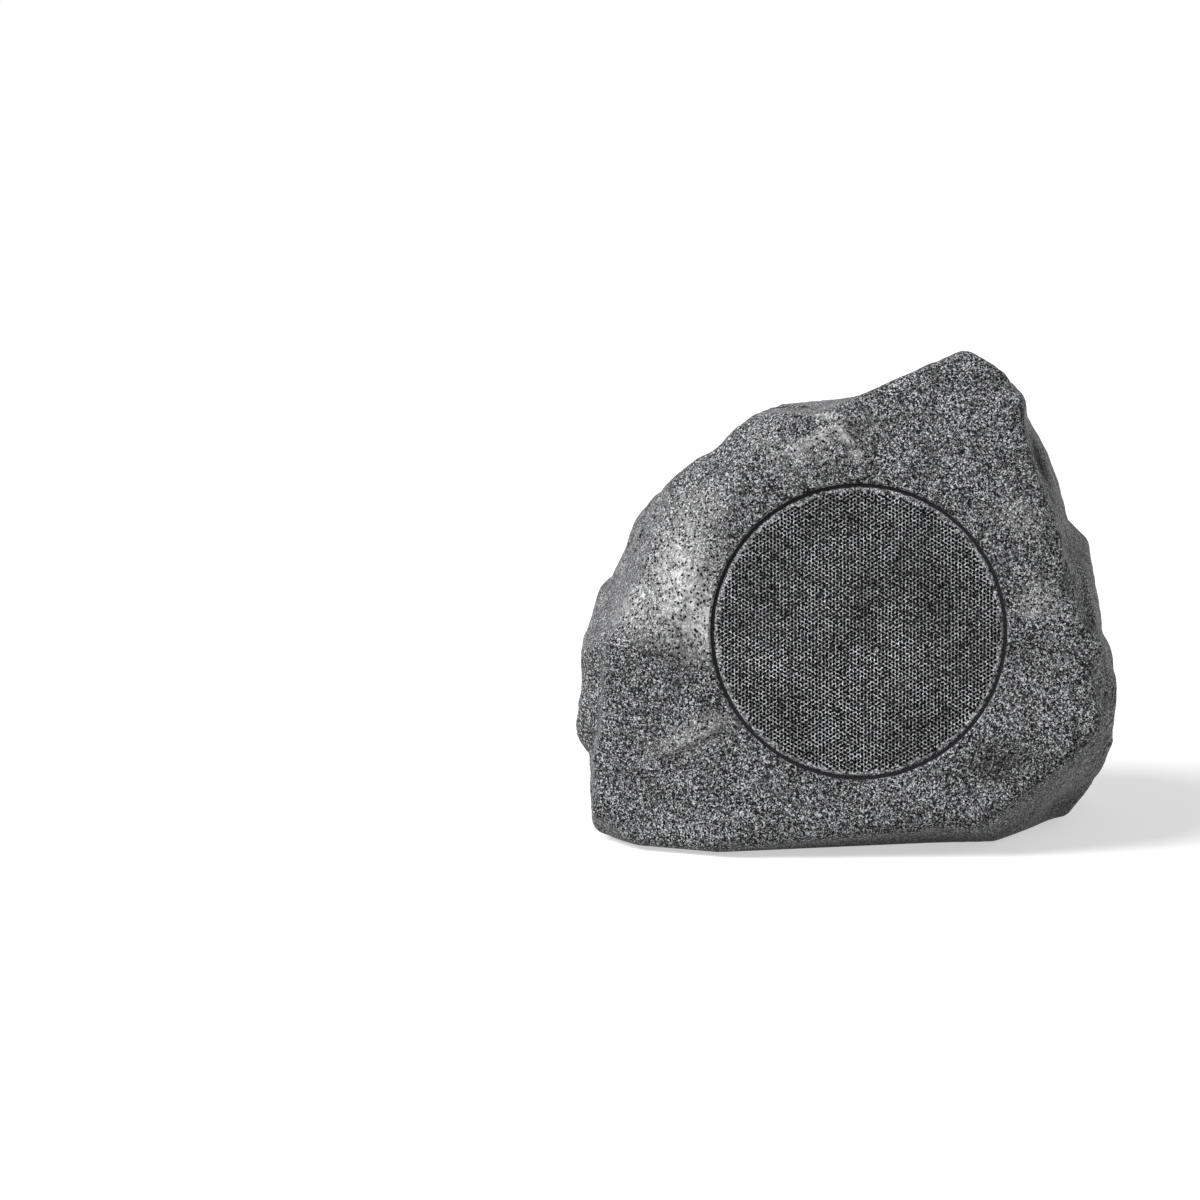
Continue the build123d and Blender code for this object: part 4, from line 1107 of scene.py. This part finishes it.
def moulded(name, colour, rough, grain, depth, metal=0.0, spread=0.25, gloss=0.5):
    """A plain finish with a fine grain, uneven tone and a lightly mottled gloss."""
    paint = Painter(name)
    uneven = paint.noise(grain * MM * MOTTLE_GRAINS, FINE_DETAIL).outputs["Fac"]
    dark = tuple(c * (1 - spread) for c in colour)
    light = tuple(min(1, c * (1 + spread)) for c in colour)
    paint.bump(paint.noise(grain * MM, FINE_DETAIL).outputs["Fac"], depth * MM)
    paint.set(Base_Color=paint.mottle(uneven, dark, light), Metallic=metal, Specular_IOR_Level=gloss)
    return paint.set(Roughness=paint.mottle(uneven, *(min(1, rough * share) for share in MOTTLE_ROUGHNESS)))


def coat(made, finish):
    """Makes a finish the only one of a piece."""
    made.data.materials.clear()
    made.data.materials.append(finish)


def dress_nodes():
    """Gives every piece of the solid model its finish."""
    for name, nodes in FINISHED_NODES.items():
        finish = moulded(name, **FINISHES[name])
        for node in nodes:
            coat(frame["nodes"][node], finish)
    coat(frame["nodes"]["voice_coil"], wound("coil_wire", COPPER, OUT, COIL_PITCH))
    coat(frame["nodes"]["inductor_winding"], wound("inductor_wire", COPPER, (0, 0, 1), INDUCTOR_PITCH))


# Studio: the floor's size in metres, angles in degrees and levels as shares of white
WHITE = (1, 1, 1, 1)
FLOOR_SIZE = 12
LIGHTS = {
    "key": {"bearing": -58, "height": 42, "spread": 35, "level": 1.42},
    "fill": {"bearing": 75, "height": 25, "spread": 90, "level": 0.2},
}
AMBIENT = 0.22
FLOOR_GLOW = 0.55
FLOOR_SHADE = 0.55


def add_lights():
    """Broad soft lights; level is the share of a white surface's brightness that each gives."""
    for name, values in LIGHTS.items():
        bearing = math.radians(values["bearing"])
        height = math.radians(values["height"])
        flat = math.cos(height)
        away = Vector((math.sin(bearing) * flat, -math.cos(bearing) * flat, math.sin(height)))
        data = bpy.data.lights.new(name, "SUN")
        data.angle = math.radians(values["spread"])
        data.energy = values["level"] * math.pi
        lamp = bpy.data.objects.new(name, data)
        bpy.context.scene.collection.objects.link(lamp)
        lamp.matrix_world = away.to_track_quat("Z", "Y").to_matrix().to_4x4()


def seen_directly(tree):
    """1 for what is seen straight, in a mirror or through glass, and 0 for what lights the speaker."""
    rays = tree.add("ShaderNodeLightPath").outputs
    seen = tree.math("MAXIMUM", rays["Is Camera Ray"], rays["Is Glossy Ray"])
    return tree.math("MAXIMUM", seen, rays["Is Transmission Ray"])


def add_world():
    """An even pale surround that is white where it is seen."""
    world = bpy.data.worlds.new("studio")
    bpy.context.scene.world = world
    world.use_nodes = True
    sky = Nodes(world.node_tree)
    level = sky.add("ShaderNodeMapRange")
    sky.feed(level.inputs["Value"], seen_directly(sky))
    level.inputs["To Min"].default_value = AMBIENT
    background = world.node_tree.nodes["Background"]
    background.inputs["Color"].default_value = WHITE
    sky.feed(background.inputs["Strength"], level.outputs["Result"])


def add_floor():
    """A pale floor that keeps the soft shadow."""
    mesh = bmesh.new()
    bmesh.ops.create_grid(mesh, x_segments=1, y_segments=1, size=FLOOR_SIZE)
    floor = piece("floor", mesh)
    paint = Painter("floor")
    glow = paint.math("MULTIPLY", seen_directly(paint), FLOOR_GLOW)
    paint.set(Base_Color=(FLOOR_SHADE, FLOOR_SHADE, FLOOR_SHADE, 1), Roughness=1, Specular_IOR_Level=0)
    coat(floor, paint.set(Emission_Color=WHITE, Emission_Strength=glow))


# The speaker
def finish_piece(made, node, finish):
    """Gives a piece its material and hides the solid it takes the place of."""
    coat(made, finish)
    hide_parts(node)
    return made


stone_coat = granite("granite_coat", **STONE_COAT)
stone_piece = finish_piece(stone(), "rock_shell", stone_coat)
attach(stone_piece, ROOT)
grille_coat = granite("grille_coat", **GRILLE_COAT)
grille_piece = finish_piece(grille(), "grille", grille_coat)
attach(grille_piece, ROOT)

scrim_weave = cloth("black_cloth", SCRIM_SHADE, SCRIM_THREAD)
scrim_piece = finish_piece(scrim(), "grille_scrim", scrim_weave)
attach(scrim_piece, ROOT)

edge_rubber = moulded("edge_rubber", **FINISHES["edge_rubber"])
edge_piece = finish_piece(surround(), "surround", edge_rubber)
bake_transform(edge_piece)
spider_weave = cloth("spider_cloth", SPIDER_SHADE, SPIDER_THREAD)
spider_piece = finish_piece(spider(), "spider", spider_weave)
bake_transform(spider_piece)

dress_nodes()

# The studio
add_camera()
add_lights()
add_world()
add_floor()
bpy.context.scene.view_settings.view_transform = "Standard"
